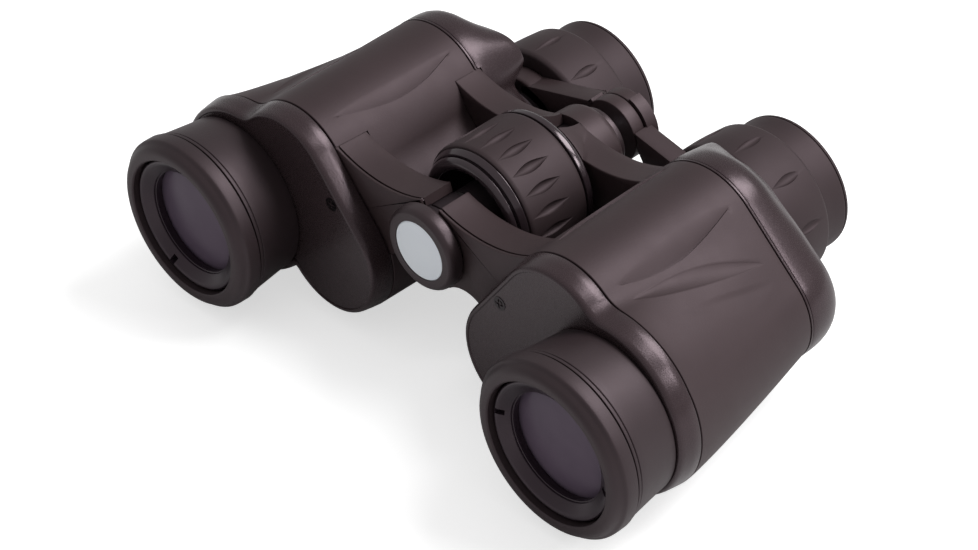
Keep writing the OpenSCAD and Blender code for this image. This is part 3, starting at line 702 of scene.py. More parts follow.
@dataclass(frozen=True)
class Dents:
    """Pointed hollows, all like one leaf, in a ring round a drum."""

    half: float
    wide: float
    deep: float
    count: int
    first: float = 0.0
    steps: int = 16
    point: float = 1.25
    proud: float = 0.02

    def press(self, drum: Workpiece, axis: Point, r: float, y: float) -> Workpiece:
        """Spins one leaf, copies it all round and cuts the copies out.

        Args:
            drum: The piece that gets the dents.
            axis: Its axis.
            r: Its radius at the dents.
            y: Station of their middles.

        Returns:
            The drum with its dents.
        """
        profile = [
            (max(math.cos(math.pi / 2 * t), 0.0) ** self.point if abs(t) < 1 else 0, self.half * t)
            for t in spread(-1, 1, self.steps)]
        leaf = Workpiece.turned("dent", Point(0, 0), profile, 24)
        leaf.obj.data.transform(Matrix.Diagonal((self.wide, 1, self.deep, 1)))
        leaf.moved(axis + (0, r + self.proud), y)
        ring = [
            leaf.copy("dent").turned_by(self.first + 360 * i / self.count, axis)
            for i in range(self.count)]
        bpy.data.objects.remove(leaf.obj)
        return drum.cut(ring[0].add(*ring[1:]))


# ---------- objective ----------


@dataclass
class Objective:
    """Rim, barrel, retaining ring and front lens of an objective."""

    rim: Span = measured("right_objective_rim")
    barrel: Span = measured("right_objective_barrel")
    cover: Span = measured("right_front_cover")
    crown: Span = measured("right_objective_crown")
    ring: Span = measured("right_retaining_ring")
    flint: Span = measured("right_objective_flint")
    recess_r: float = 17.2
    neck_r: float = 19.7
    clear_r: float = 13.0
    curve_r: float = 72.0
    lens_edge: float = 2.2
    slot_w: float = 1.5
    slot_from: float = 14.3
    slot_to: float = 16.2
    slot_depth: float = 1.95
    slot_turn: float = 8.0
    left_turn: float = -54.0

    def make_rim(self) -> Workpiece:
        """Turns the rounded nose with its soft crease."""
        y, r, back = self.rim.y0, self.rim.r, self.rim.y1
        return Workpiece.turned("right_rim", self.rim.axis, [
            (self.recess_r, back), (self.recess_r, y + 0.25, 0.1),
            (self.recess_r + 0.35, y, 0.15), (r - 1.9, y, 1.1),
            (r - 0.75, y + 1.8, 0.5), (r - 0.1, y + 2.2, 0.5),
            (r, y + 3.2, 0.3), (r, back, 0.15), (r - 1.2, back)])

    def make_barrel(self) -> Workpiece:
        """Turns the barrel: thin ridge behind the rim, long neck, dark line at the cover."""
        y, r, face = self.rim.y1, self.rim.r, self.cover.y0
        inside, edge = self.recess_r - 0.35, self.ring.y1
        seat = self.crown.r + 0.02
        return Workpiece.turned("right_barrel", self.rim.axis, [
            (inside, edge), (inside, y + 0.02), (r - 1, y + 0.02),
            (r - 1, y + 0.5), (r - 0.35, y + 0.5, 0.15), (r - 0.35, y + 1.25, 0.15),
            (r - 0.85, y + 1.3), (r - 0.85, y + 1.6), (r - 0.6, y + 1.7, 0.2),
            (r - 0.9, y + 4), (self.neck_r + 0.25, face - 3),
            (self.neck_r, face - 0.4, 0.12), (self.neck_r - 0.7, face - 0.35),
            (self.neck_r - 0.7, face + 0.4), (self.neck_r - 2.7, face + 0.6),
            (self.neck_r - 2.7, self.barrel.y1), (self.clear_r + 0.6, self.barrel.y1),
            (self.clear_r + 0.6, self.flint.y1), (seat, self.flint.y1), (seat, edge)])

    def make_ring(self) -> Workpiece:
        """Turns the deep retaining ring with its cone and cuts its two spanner slots."""
        y, back, outer = self.ring.y0 - 0.35, self.ring.y1, self.recess_r - 0.4
        clear = self.clear_r
        ring = Workpiece.turned("right_retainer", self.rim.axis, [
            (clear + 0.25, back - 0.6), (clear + 0.25, y + 2.9), (clear, y + 2.8),
            (clear, y + 2.3), (clear + 0.2, y + 2.2), (clear + 0.2, y + 1.75, 0.15),
            (outer - 1.1, y + 0.15, 0.4), (outer - 0.4, y, 0.3), (outer, y + 0.5, 0.25),
            (outer, back), (clear + 1.4, back), (clear + 1.4, back - 0.45)])
        near, far = self.slot_from, self.slot_to
        corners = ((near, -1), (near, 1), (far, 1), (far, -1))
        slots = []
        for turn in (self.slot_turn, self.slot_turn + 180):
            slot = Workpiece.lofted("slot", [
                [(x, at, z * self.slot_w / 2) for x, z in corners]
                for at in (y - 1, y + self.slot_depth)])
            slots.append(slot.moved(self.rim.axis).turned_by(turn, self.rim.axis))
        return ring.cut(*slots)

    def make_lens(self) -> Workpiece:
        """Turns the front lens with a true spherical face."""
        front = [(r, self.crown.y0 + depth) for r, depth in dome(self.crown.r, self.curve_r, 20)]
        back = front[-1][1] + self.lens_edge
        return Workpiece.turned(
            "right_front_lens", self.rim.axis, front + [(self.crown.r, back), (0, back)])

    def build(self) -> None:
        """Builds both objectives."""
        dress_pair(self.make_rim(), RIM, "objective_rim")
        dress_pair(self.make_barrel(), RIM, "objective_barrel")
        ring = self.make_ring()
        left = Point(-self.rim.axis.x, self.rim.axis.z)
        twin = ring.mirrored("left_retainer").turned_by(self.left_turn, left)
        dress(ring, ANODISED, "right_retaining_ring")
        dress(twin, ANODISED, "left_retaining_ring")
        dress_pair(self.make_lens(), LENS, "objective_crown", angle=60)


# ---------- casing ----------


@dataclass(frozen=True)
class Leaf:
    """A long leaf-shaped hollow pressed into the shell.

    Its edge is given as (station along Y, angle in degrees) from the front end to the back one.
    The wall at that edge is some degrees wide; where it is 0, the hollow is a trough with two
    like edges.
    """

    edge: tuple[tuple[float, float], ...]
    width: float
    depth: float
    side: int
    wall: float = 0.55

    def angle(self, y: float) -> float:
        """Returns the angle of the crisp edge at a station, on a smooth line through its points."""
        points = self.edge
        y = min(max(y, points[0][0] - 6), points[-1][0] + 6)
        index = max(i for i in range(len(points) - 1) if i == 0 or points[i][0] <= y)
        slopes = [
            (points[min(i + 1, len(points) - 1)][1] - points[max(i - 1, 0)][1])
            / (points[min(i + 1, len(points) - 1)][0] - points[max(i - 1, 0)][0])
            for i in (index, index + 1)
        ]
        (y0, a0), (y1, a1) = points[index], points[index + 1]
        run = y1 - y0
        t = (y - y0) / run
        if t < 0:
            return a0 + slopes[0] * (y - y0)
        if t > 1:
            return a1 + slopes[1] * (y - y1)
        return (
            (1 + 2 * t) * (1 - t) ** 2 * a0 + t * (1 - t) ** 2 * run * slopes[0]
            + t * t * (3 - 2 * t) * a1 + t * t * (t - 1) * run * slopes[1]
        )

    def swell(self, y: float) -> float:
        """Returns the share of the full width at a station: 0 at both tips."""
        t = (y - self.edge[0][0]) / (self.edge[-1][0] - self.edge[0][0])
        return max(math.sin(math.pi * min(max(t, 0.0), 1.0)), 0.0) ** 0.8

    def dip(self, y: float, angle: float) -> float:
        """Returns the depth of the hollow at a place on the shell, in millimetres."""
        swell = self.swell(y)
        if swell < 1e-3:
            return 0.0
        u = (angle - self.angle(y)) * self.side / (self.width * swell)
        if not -1e-6 <= u < 1:
            return 0.0
        if not self.wall:
            return self.depth * swell * math.sin(math.pi * max(u, 0.0)) ** 0.7
        rise = smooth_step(0.0, 1.0, max(u, 0.0) * self.width * swell / self.wall)
        return self.depth * swell ** 0.7 * rise * (1 - u) ** 1.4


@dataclass
class Casing:
    """Front cover, shell and rear cover of a half, all from one outline."""

    shell: Span = measured("right_body_shell")
    front: Span = measured("right_front_cover")
    rear: Span = measured("right_rear_cover")
    objective: Point = measured("right_objective_rim", "axis")
    eyepiece: Point = measured("right_eyecup", "axis")
    guide_r: float = 15.05
    spigot_r: float = 17.05
    front_lobe: float = 15.2
    objective_lobe: float = 20.6
    rear_lobe: float = 15.7
    tail_lobe: float = 13.1
    eyepiece_lobe: float = 15.9
    front_waist: float = 3.0
    rear_waist: float = 5.0
    swell: float = 1.0
    wall: float = 2.2
    skew: float = 0.5
    shoulder_len: float = 3.2
    shoulder_keep: float = 0.62
    shoulder_arc: tuple[float, ...] = (94, 133, 135, 149)
    top_arc: tuple[float, ...] = (30, 85, 110, 135)
    ring_shift: tuple[float, float] = (-1.1, 1.4)
    top_fall: float = 1.8
    plate: float = 2.6
    bore_gap: float = 0.08
    bore_step: float = 0.04
    crisp: float = 0.95
    columns: int = 360
    leaves: tuple[Leaf, ...] = (
        Leaf(
            ((-19.5, 41.5), (-13.3, 38.5), (-7.5, 35.8), (-1.8, 32.5), (8.3, 26.2)),
            width=13, depth=0.4, side=-1, wall=4.5),
        Leaf(
            ((-25.5, 57.4), (-20.2, 51.5), (-10.6, 44.2), (0.3, 37.9), (7.8, 34.8)),
            width=11.5, depth=0.45, side=1, wall=0),
        Leaf(
            ((-26.5, 68.0), (-18.7, 62.7), (-10.1, 61.0), (-2.1, 63.5), (9.0, 69.8)),
            width=14, depth=0.85, side=1),
        Leaf(
            ((-26.0, 112.0), (-17.2, 117.8), (-8.9, 120.7), (-0.6, 119.3), (9.7, 113.2)),
            width=10, depth=0.95, side=-1),
    )

    def __post_init__(self) -> None:
        """Works out the prism's corner, the core and the rear face, and starts an empty store for
        the two end outlines.
        """
        half = Point(
            (self.objective.x - self.eyepiece.x) / 2, (self.objective.z - self.eyepiece.z) / 2
        )
        middle = self.eyepiece + half
        self.knee = middle + (-half.z, half.x)
        self.core = Point(middle.x, (self.objective.z + self.knee.z + self.eyepiece.z) / 3)
        self.rear_face = self.rear.y1 - self.shoulder_len
        self._tables: dict[tuple[str, float], list[float]] = {}

    def exit(self, centre: Point, r: float, angle: float) -> float:
        """Returns the distance from the core to the far side of a circle."""
        dx, dz = centre.x - self.core.x, centre.z - self.core.z
        along = dx * math.cos(angle) + dz * math.sin(angle)
        room = r * r - dx * dx - dz * dz + along * along
        return 0.0 if room < 0 else along + math.sqrt(room)

    def pill(self, first: Point, last: Point, r0: float, r1: float, angle: float) -> float:
        """The same for a rounded bar between two centres."""
        return max(
            self.exit(
                Point(first.x + (last.x - first.x) * t, first.z + (last.z - first.z) * t),
                r0 + (r1 - r0) * t, angle)
            for t in spread(0, 1, 40))

    @staticmethod
    def blend(a: float, b: float, waist: float) -> float:
        """Returns the larger radius, with a fillet where the two cross."""
        near = max(waist - abs(a - b), 0.0) / waist
        return max(a, b) + near * near * waist / 4

    def table(self, end: str, grow: float) -> list[float]:
        """Returns the radii of one end's outline, a degree apart by halves."""
        key = (end, round(grow, 3))
        if key not in self._tables:
            radii = []
            for i in range(720):
                angle = math.radians(i / 2)
                if end == "front":
                    lobe = self.front_lobe + grow
                    bar = self.pill(self.knee, self.eyepiece, lobe, lobe, angle)
                    shifted = self.objective + self.ring_shift
                    ring = max(
                        self.exit(shifted, self.objective_lobe + grow, angle),
                        self.exit(self.objective, self.objective_lobe - 0.25 + grow, angle))
                    radii.append(self.blend(bar, ring, self.front_waist))
                else:
                    lobes = (self.rear_lobe + grow, self.tail_lobe + grow)
                    bar = self.pill(self.knee, self.objective, *lobes, angle)
                    ring = self.exit(self.eyepiece, self.eyepiece_lobe + grow, angle)
                    radii.append(self.blend(bar, ring, self.rear_waist))
            self._tables[key] = radii
        return self._tables[key]

    def radius(self, y: float, angle: float, grow: float) -> float:
        """Returns the casing's radius round its core.

        Args:
            y: Station along Y.
            angle: Direction in degrees from X towards Z.
            grow: How far the outline is moved outwards.

        Returns:
            The radius in millimetres.
        """
        spot = (angle % 360) * 2
        low = int(spot) % 720
        share = spot - int(spot)
        ends = []
        for end in ("front", "rear"):
            radii = self.table(end, grow)
            ends.append(radii[low] * (1 - share) + radii[(low + 1) % 720] * share)
        t = min(max((y - self.shell.y0) / (self.shell.y1 - self.shell.y0), 0.0), 1.0)
        morph = t ** (1 - self.skew * math.sin(math.radians(angle)))
        return ends[0] * (1 - morph) + ends[1] * morph

    def spot(self, y: float, angle: float, grow: float, lift: float = 0.0) -> Spot:
        """Returns a place on the casing; lift moves it straight outwards."""
        base = self.core.toward(angle, self.radius(y, angle, grow) + lift)
        return (base.x, y, base.z)

    def ring(self, y: float, grow: float) -> list[Spot]:
        """Returns one ring of the casing."""
        return [self.spot(y, 360 * i / self.columns, grow) for i in range(self.columns)]

    def hole(self, y: float, rim: Ring, centre: Point, r: float) -> list[Spot]:
        """Returns a round hole whose corners face those of a ring."""
        spots = []
        for x, _, z in rim:
            turn = math.atan2(z - centre.z, x - centre.x)
            spots.append((centre.x + r * math.cos(turn), y, centre.z + r * math.sin(turn)))
        return spots

    def leaf_columns(self, y: float) -> list[float]:
        """Returns the angles of the shell's columns, drawn along the leaves' crisp edges."""
        third, second, first, inner = self.leaves
        low = second.angle(y)
        high = low + max(second.width * second.swell(y), 1.2)
        guides = [
            (0.0, 46, 0), (third.angle(y), 16, -1), (low, 18, 0), (high, 10, 0),
            (first.angle(y), 40, 1), (92.0, 40, 0), (inner.angle(y), 64, -1), (180.0, 60, 0),
            (270.0, 60, 0), (360.0, 0, 0)]
        angles: list[float] = []
        for (a0, count, side), (a1, _, next_side) in zip(guides, guides[1:]):
            start = a0 + self.crisp if side > 0 else a0
            stop = a1 - self.crisp if next_side < 0 else a1
            angles += [a0, a0 + self.crisp / 2, start] if side > 0 else [a0]
            angles += spread(start, stop, count, 1)[:-1]
            if next_side < 0:
                angles += [stop, a1 - self.crisp / 2]
        return angles

    def make_shell(self, cutters: Sequence[Workpiece]) -> Workpiece:
        """Lofts the shell with its leaves, gives it a wall and cuts the arms' pockets."""
        y0, y1 = self.shell.y0, self.shell.y1
        edge = [(y0 + 0.02, -0.9), (y0 + 0.38, -0.9), (y0 + 0.4, -0.12), (y0 + 0.52, 0)]
        middle = [(y, 0.0) for y in spread(y0 + 0.52, y1 - 0.03, 78, 1)[:-1]]
        tail = [(y1 - 0.03, -0.05), (y1, -0.15)]
        rings = []
        for y, drop in edge + middle + tail:
            ring = []
            for angle in self.leaf_columns(y):
                dip = sum(leaf.dip(y, angle) for leaf in self.leaves) if drop == 0 else 0.0
                ring.append(self.spot(y, angle, self.swell, drop - dip))
            rings.append(ring)
        for y in (y1, (y0 + y1) / 2, y0 + 0.02):
            rings.append([self.spot(y, a, self.swell - self.wall) for a in self.leaf_columns(y)])
        return Workpiece.lofted("right_shell", rings, closed=True).cut(*cutters)

    def make_front_cover(self) -> Workpiece:
        """Lofts the front cover: flat face, fine raised lip, bevel band."""
        y0, y1 = self.front.y0, self.front.y1
        outer = [
            (y0 + 0.22, -1.25), (y0 + 0.22, -1.0), (y0 + 0.02, -0.8), (y0, -0.55),
            (y0 + 0.1, -0.2), (y0 + 0.32, 0.08), (y0 + 0.7, 0.28), (y0 + 1.4, 0.45),
            (y0 + 3.4, 0.75), (y1 - 0.2, 1.0), (y1 - 0.03, 0.93), (y1 + 0.02, 0.75),
            (y1 + 0.02, 0.5 - self.wall), (y0 + 2.2, 0.5 - self.wall)]
        rings = [self.ring(y, grow) for y, grow in outer]
        rings += [
            self.hole(y, rings[0], self.objective, self.spigot_r) for y in (y0 + 2.2, y0 + 0.22)]
        return Workpiece.lofted("right_front_plate", rings, closed=True)

    @staticmethod
    def hump(arc: Sequence[float], angle: float) -> float:
        """Returns 1 between the middle two angles of an arc and 0 outside it."""
        return smooth_step(arc[0], arc[1], angle) * (1 - smooth_step(arc[2], arc[3], angle))

    def make_rear_cover(self, cutters: Sequence[Workpiece]) -> Workpiece:
        """Lofts the rear cover: groove, ridge, line, tapering band, crisp edge and shoulder."""
        y0, face = self.rear.y0, self.rear_face
        outer = [
            (y0 + 0.02, -0.8), (y0 + 0.28, -0.8), (y0 + 0.3, 0.0), (y0 + 0.38, 0.06),
            (y0 + 0.78, 0.06), (y0 + 0.85, 0.0), (y0 + 0.88, -0.25), (y0 + 1.0, -0.25),
            (y0 + 1.04, -0.04), (y0 + 1.4, 0.04), (y0 + 2.8, 0.06), (y0 + 4.4, 0.0),
            (y0 + 5.8, -0.16), (y0 + 7.2, -0.45), (y0 + 8.4, -0.85), (y0 + 9.4, -1.3),
            (y0 + 10.2, -1.8), (face - 0.42, -2.15), (face - 0.15, -2.3), (face - 0.03, -2.45),
            (face, -2.7), (face, -3.4), (face, -6.0), (face, -9.5)]
        rings = []
        for row, (y, drop) in enumerate(outer):
            back = smooth_step(y0 + 4, face, y)
            clear = self.guide_r + self.bore_gap + self.bore_step * (len(outer) - 1 - row)
            ring = []
            for i in range(self.columns):
                angle = 360 * i / self.columns
                lift, top = self.hump(self.shoulder_arc, angle), self.hump(self.top_arc, angle)
                inner = smooth_step(-9.5, -6.0, drop) if y == face else 1.0
                fall = drop * (1 - self.shoulder_keep * lift * back)
                fall -= self.top_fall * top * back ** 2 * (1 - lift)
                x, _, z = self.spot(y, angle, self.swell, fall)
                away = Vector((x - self.eyepiece.x, z - self.eyepiece.z))
                if away.length < clear:
                    away *= clear / away.length
                    x, z = self.eyepiece.x + away.x, self.eyepiece.z + away.y
                reach = (self.shoulder_len + 0.5) * lift * back * inner
                ring.append((x, y + reach, z))
            rings.append(ring)
        inside = face - self.plate
        rings += [self.hole(y, rings[0], self.eyepiece, self.guide_r) for y in (face, inside)]
        rings += [self.ring(y, 0.8 - self.wall) for y in (inside, y0 + 0.02)]
        return Workpiece.lofted("right_rear_plate", rings, closed=True).cut(*cutters)

    def build(self, arms: "Hinge") -> None:
        """Builds the casings of both halves."""
        dress_pair(self.make_front_cover(), TRIM, "front_cover")
        shell = self.make_shell(arms.pockets(self, arms.front, arms.rear))
        dress_pair(shell, SATIN, "body_shell", angle=38)
        dress_pair(self.make_rear_cover(arms.pockets(self, arms.rear)), TRIM, "rear_cover")


# ---------- hinge ----------


@dataclass
class Hinge:
    """Arms, knuckles, boss, nut and cap of the hinge."""

    cap: Span = measured("hinge_cap")
    disc: Span = measured("cap_disc")
    nut: Span = measured("hinge_nut")
    front: Span = measured("left_front_arm")
    rear: Span = measured("left_rear_arm")
    boss: Span = measured("right_rear_arm")
    hub_r: float = 10.6
    shroud_r: float = 13.8
    knuckle_r: float = 8.0
    pin_r: float = 4.5
    tube_r: float = 5.5
    waist: float = 7.8
    web_mid: float = 15.5
    web_end: float = 29.0
    web_r: float = 34.0
    low_mid: float = 9.4
    low_r: float = 8.0
    open_top: float = 15.5
    open_low: float = 9.5
    gap: float = 0.3
    bite_depth: float = 1.0
    pocket_depth: float = 1.35
    pocket_gap: float = 0.18
    pocket_end: float = 0.2
    pocket_bore: float = 6.0
    seam: tuple[float, ...] = (0.6, 0.65, 1.05, 1.1)
    seam_depth: float = 0.5
    facing: tuple[float, float] = (95.0, 235.0)
    boss_len: float = 7.4
    fine: int = 50

    @property
    def axis(self) -> Point:
        """Axis of the hinge."""
        return self.cap.axis

    def web_top(self, x: float) -> float:
        """Returns the height of the web's top above the axis."""
        return self.waist + self.web_r - math.sqrt(self.web_r ** 2 - (x - self.web_mid) ** 2)

    def web_low(self, x: float) -> float:
        """Returns the height of the web's underside, below the axis."""
        room = self.low_r ** 2 - (x - self.low_mid) ** 2
        hollow = -self.waist - 1 - self.low_r + math.sqrt(room) if room > 0 else -99.0
        return max(-self.hub_r, hollow)

    def section(self, hub: float, reach: Callable[[float], float], inner: float) -> list[Point]:
        """Draws the section of a right-hand arm round the hinge axis.

        Args:
            hub: Outer radius round the axis.
            reach: Function of the height that gives how far the web goes out.
            inner: Radius of the clearance round the knuckles.

        Returns:
            The section's corners, relative to the axis, anticlockwise from the inner top.
        """
        start, stop = math.radians(self.open_top), math.radians(180 - self.open_low)
        edge = round(self.fine * (hub * math.sin(start) + self.gap))
        tries = (x / self.fine for x in range(edge, round(hub * 2 * self.fine)))
        meet = next(x for x in tries if self.web_top(x) > math.sqrt(max(hub ** 2 - x ** 2, 0)))
        top_out = reach(self.web_top(self.web_end))
        low_out = reach(-self.hub_r)
        meet_angle = math.asin(min(meet / hub, 1.0))
        foot = self.hub_r * math.tan(math.radians(self.open_low))
        points = [
            Point(r * math.sin(a), r * math.cos(a))
            for r, arc in ((inner, spread(stop, start, 30)), (hub, spread(start, meet_angle, 12)))
            for a in arc]
        points += [Point(x, self.web_top(x)) for x in spread(meet, top_out, 28, 1)]
        walls = spread(self.web_top(top_out), -self.hub_r, 12, 1)[:-1]
        points += [Point(reach(z), z) for z in walls]
        points += [Point(x, self.web_low(x)) for x in spread(low_out, foot, 48)]
        return points[::-1]

    def bite(self, casing: Casing, depth: float) -> Callable[[float], float]:
        """Returns a function of the height that gives where an arm ends inside the casing."""
        y = casing.shell.y0

        def reach(z: float) -> float:
            """Finds the casing's hinge-side wall at a height above the axis."""
            height = z + self.axis.z - casing.core.z
            low, high = self.facing
            for _ in range(40):
                mid = (low + high) / 2
                r = casing.radius(y, mid, casing.swell - depth)
                if r * math.sin(math.radians(mid)) > height:
                    low = mid
                else:
                    high = mid
            r = casing.radius(y, low, casing.swell - depth)
            return casing.core.x + r * math.cos(math.radians(low))

        return reach

    def pockets(self, casing: Casing, *spans: Span) -> list[Workpiece]:
        """Makes cutters for the pockets of some arms in the casing."""
        reach = self.bite(casing, self.pocket_depth)
        section = self.section(self.hub_r + self.pocket_gap, reach, self.pocket_bore)
        loop = [(p.x, p.z + self.axis.z + math.copysign(self.pocket_gap, p.z)) for p in section]
        return [
            Workpiece.lofted("pocket", [
                [(x, y, z) for x, z in loop]
                for y in (span.y0 - self.pocket_end, self.ends(span)[1] + self.pocket_end)])
            for span in spans]

    def ends(self, span: Span) -> tuple[float, float]:
        """Returns where an arm begins and ends along Y."""
        return span.y0, (self.boss.y1 - self.boss_len if span is self.rear else span.y1)

    def make_arm(self, name: str, casing: Casing, span: Span, front_r: float) -> Workpiece:
        """Lofts a right-hand arm with fine edges; the front one has a seam behind its face."""
        y0, y1 = self.ends(span)
        reach = self.bite(casing, self.bite_depth)
        stations = [(y0, 0.3), (y0 + 0.08, 0.1), (y0 + 0.25, 0.0)]
        if span is self.front:
            depths = (0.0, self.seam_depth, self.seam_depth, 0.0)
            stations += [(y0 + at, less) for at, less in zip(self.seam, depths)]
        stations += [(y0 + 3.5, 0.0), (y1 - 2.0, 0.0), (y1 - 0.3, 0.0), (y1 - 0.08, 0.1), (y1, 0.3)]
        rings = []
        for y, less in stations:
            flare = (1 - (y - y0) / (y1 - y0)) ** 1.6
            hub = self.hub_r + (front_r - self.hub_r) * flare
            section = self.section(hub, reach, self.knuckle_r + self.gap)
            rings.append([
                (p.x, y, p.z + self.axis.z) for p in self.shrink(section, less)])
        return Workpiece.lofted(name, rings)

    @staticmethod
    def shrink(section: Sequence[Point], less: float) -> list[Point]:
        """Moves each corner of a section inwards."""
        if not less:
            return list(section)
        moved = []
        for i, here in enumerate(section):
            before, after = section[i - 1], section[(i + 1) % len(section)]
            run = Vector((after.x - before.x, after.z - before.z))
            side = Vector((run.y, -run.x)).normalized() if run.length > 1e-6 else Vector((0, 0))
            moved.append(Point(here.x - side.x * less, here.z - side.y * less))
        return moved

    def make_knuckle(self, name: str, y0: float, y1: float, bore: float) -> Workpiece:
        """Turns a knuckle and the filling between it and its own arm."""
        tube = Workpiece.turned(name, self.axis, [
            (bore, y0), (self.knuckle_r, y0, 0.2), (self.knuckle_r, y1, 0.2),
            (bore, y1)], 96)
        radii = (self.knuckle_r - 0.4, self.knuckle_r + 0.5)
        return tube.add(sector(
            "filling", self.axis, (self.open_top, 180 - self.open_low, 40), radii, (y0, y1)))

    def make_arms(self, casing: Casing) -> None:
        """Builds the four arms with their knuckles."""
        for word, span, front_r, bore, own_len in (
            ("front", self.front, self.hub_r, self.pin_r, 2.7),
            ("rear", self.rear, self.shroud_r, self.tube_r, 3.9),
        ):
            y0, y1 = self.ends(span)
            split = y0 + own_len
            arm = self.make_arm(f"right_{word}_hinge_arm", casing, span, front_r)
            twin = arm.mirrored(f"left_{word}_hinge_arm")
            own = self.make_knuckle("right_part", y0, split - self.gap / 2, bore)
            knuckle = own.mirrored(f"left_{word}_knuckle")
            bpy.data.objects.remove(own.obj)
            dress(twin, ARM, f"left_{word}_arm")
            dress(knuckle, MATT, f"left_{word}_arm")
            if word == "rear":
                arm.add(self.make_boss(y1))
            dress(arm, ARM, f"right_{word}_arm")
            own = self.make_knuckle(f"right_{word}_knuckle", split + self.gap / 2, y1, bore)
            dress(own, MATT, f"right_{word}_arm")

    def make_boss(self, y: float) -> Workpiece:
        """Turns the boss with its rounded end behind the right rear arm."""
        end = self.boss.y1
        return Workpiece.turned("boss", self.axis, [
            (self.tube_r + 0.1, y + 0.05), (self.hub_r - 0.25, y + 0.05, 0.1),
            (self.hub_r - 0.55, end, 2.3), (self.tube_r + 0.1, end)], arc=9)

    def make_cap(self) -> Workpiece:
        """Turns the round cap with its flat face and shallow seat for the disc."""
        y, r, seat = self.cap.y0, self.cap.r, self.disc.r + 0.03
        back = self.front.y0 - self.gap
        return Workpiece.turned("front_cap", self.axis, [
            (0, self.disc.y1 + 0.02), (seat, self.disc.y1 + 0.02), (seat, y, 0.06),
            (r - 0.95, y, 0.3), (r - 0.2, y + 0.8, 0.5), (r, y + 1.9, 0.5),
            (r, back - 0.5, 0.2), (r - 0.3, back, 0.1), (self.pin_r, back),
            (self.pin_r, self.cap.y1), (0, self.cap.y1)])

    def make_disc(self) -> Workpiece:
        """Turns the plain disc set in the cap, very slightly domed."""
        y, r = self.disc.y0, self.disc.r
        return Workpiece.turned("bare_disc", self.axis, [
            (0, y - 0.06), (r * 0.55, y - 0.05), (r - 0.2, y - 0.02, 0.15),
            (r - 0.03, y + 0.15), (r - 0.03, self.disc.y1), (0, self.disc.y1)])

    def make_nut(self) -> Workpiece:
        """Turns the nut that closes the hinge."""
        y0, y1, r = self.nut.y0, self.nut.y1, self.nut.r - 0.6
        nut = Workpiece.turned("closing_nut", self.axis, [
            (self.tube_r + 0.03, y0), (r, y0, 0.15), (r, y1 - 0.2, 0.35),
            (r - 0.7, y1, 0.1), (self.tube_r + 0.7, y1, 0.1),
            (self.tube_r + 0.03, y1 - 0.5)])
        return nut

    def build(self, casing: Casing) -> None:
        """Builds the hinge."""
        self.make_arms(casing)
        dress(self.make_cap(), CAP, "hinge_cap")
        dress(self.make_disc(), DISC, "cap_disc", angle=40)
        dress(self.make_nut(), CAP, "hinge_nut")


# ---------- focusing ----------


@dataclass
class FocusWheel:
    """The wheel: core, dented sleeve and two glossy rings."""

    core: Span = measured("focus_wheel_core")
    sleeve: Span = measured("focus_wheel_sleeve")
    dents: Dents = Dents(5.8, 1.25, 1.0, 20)
    dents_at: float = 6.7

    def make_sleeve(self) -> Workpiece:
        """Turns the sleeve and presses its leaf dents."""
        y0, y1, r = self.sleeve.y0, self.sleeve.y1, self.sleeve.r
        axis = self.core.axis
        sleeve = Workpiece.turned("wheel_sleeve", axis, [
            (r - 1.6, y0), (r - 0.35, y0, 0.1), (r, y0 + 0.6, 0.4),
            (r, y1 - 0.6, 0.4), (r - 0.35, y1, 0.1), (r - 1.6, y1)], 192)
        return self.dents.press(sleeve, axis, r, y0 + self.dents_at)

    def make_front_ring(self) -> Workpiece:
        """Turns the glossy front ring: bevel, groove and broad rounded nose."""
        y0, y1, r = self.core.y0, self.sleeve.y0, self.sleeve.r
        return Workpiece.turned("front_gloss_ring", self.core.axis, [
            (r - 3, y1), (r - 3, y0 + 1.58), (r - 5, y0 + 1.58),
            (r - 5.1, y0 + 0.9, 0.4), (r - 4.2, y0 + 0.15, 0.6), (r - 2.9, y0, 0.8),
            (r - 2.0, y0 + 0.7, 0.5), (r - 1.85, y0 + 1.3, 0.12), (r - 2.5, y0 + 1.45),
            (r - 2.5, y0 + 1.95), (r - 1.5, y0 + 1.9, 0.15), (r - 0.6, y1 - 0.25, 0.3),
            (r - 0.9, y1)])

    def make_rear_ring(self) -> Workpiece:
        """Turns the glossy rear ring behind a dark groove."""
        y0, y1, r = self.sleeve.y1, self.core.y1, self.sleeve.r
        return Workpiece.turned("rear_gloss_ring", self.core.axis, [
            (r - 3, y0), (r - 1.3, y0), (r - 1.3, y0 + 0.45),
            (r - 0.2, y0 + 0.5, 0.2), (r - 0.1, y1 - 0.9, 0.4), (r - 0.9, y1, 0.3),
            (r - 3, y1)])

    def make_core(self) -> Workpiece:
        """Turns the core with its deep hollow front."""
        y0, y1, r = self.core.y0, self.core.y1, self.sleeve.r
        return Workpiece.turned("wheel_core", self.core.axis, [
            (4.55, y0 + 3.3), (4.55, y0, 0.2), (7, y0, 0.3), (7, y0 + 15),
            (12.4, y0 + 15), (12.4, y0 + 1.6, 0.2), (r - 3.05, y0 + 1.6),
            (r - 3.05, y0 + 3.6), (r - 1.62, y0 + 3.6), (r - 1.62, y1 - 2.8),
            (r - 3.05, y1 - 2.8), (r - 3.05, y1 - 0.4, 0.2), (12.4, y1 - 0.4, 0.2),
            (12.4, y1 - 1.6), (9, y1 - 1.6), (9, y1, 0.2), (5.55, y1),
            (5.55, y1 - 2.9), (3.05, y1 - 2.9), (3.05, y0 + 3.3)])

    def build(self) -> None:
        """Builds the wheel."""
        dress(self.make_sleeve(), RUBBER, "focus_wheel_sleeve")
        dress(self.make_front_ring(), GLOSS, "wheel_front_ring")
        dress(self.make_rear_ring(), GLOSS, "wheel_rear_ring")
        dress(self.make_core(), MATT, "focus_wheel_core")


# ---------- eyepieces ----------


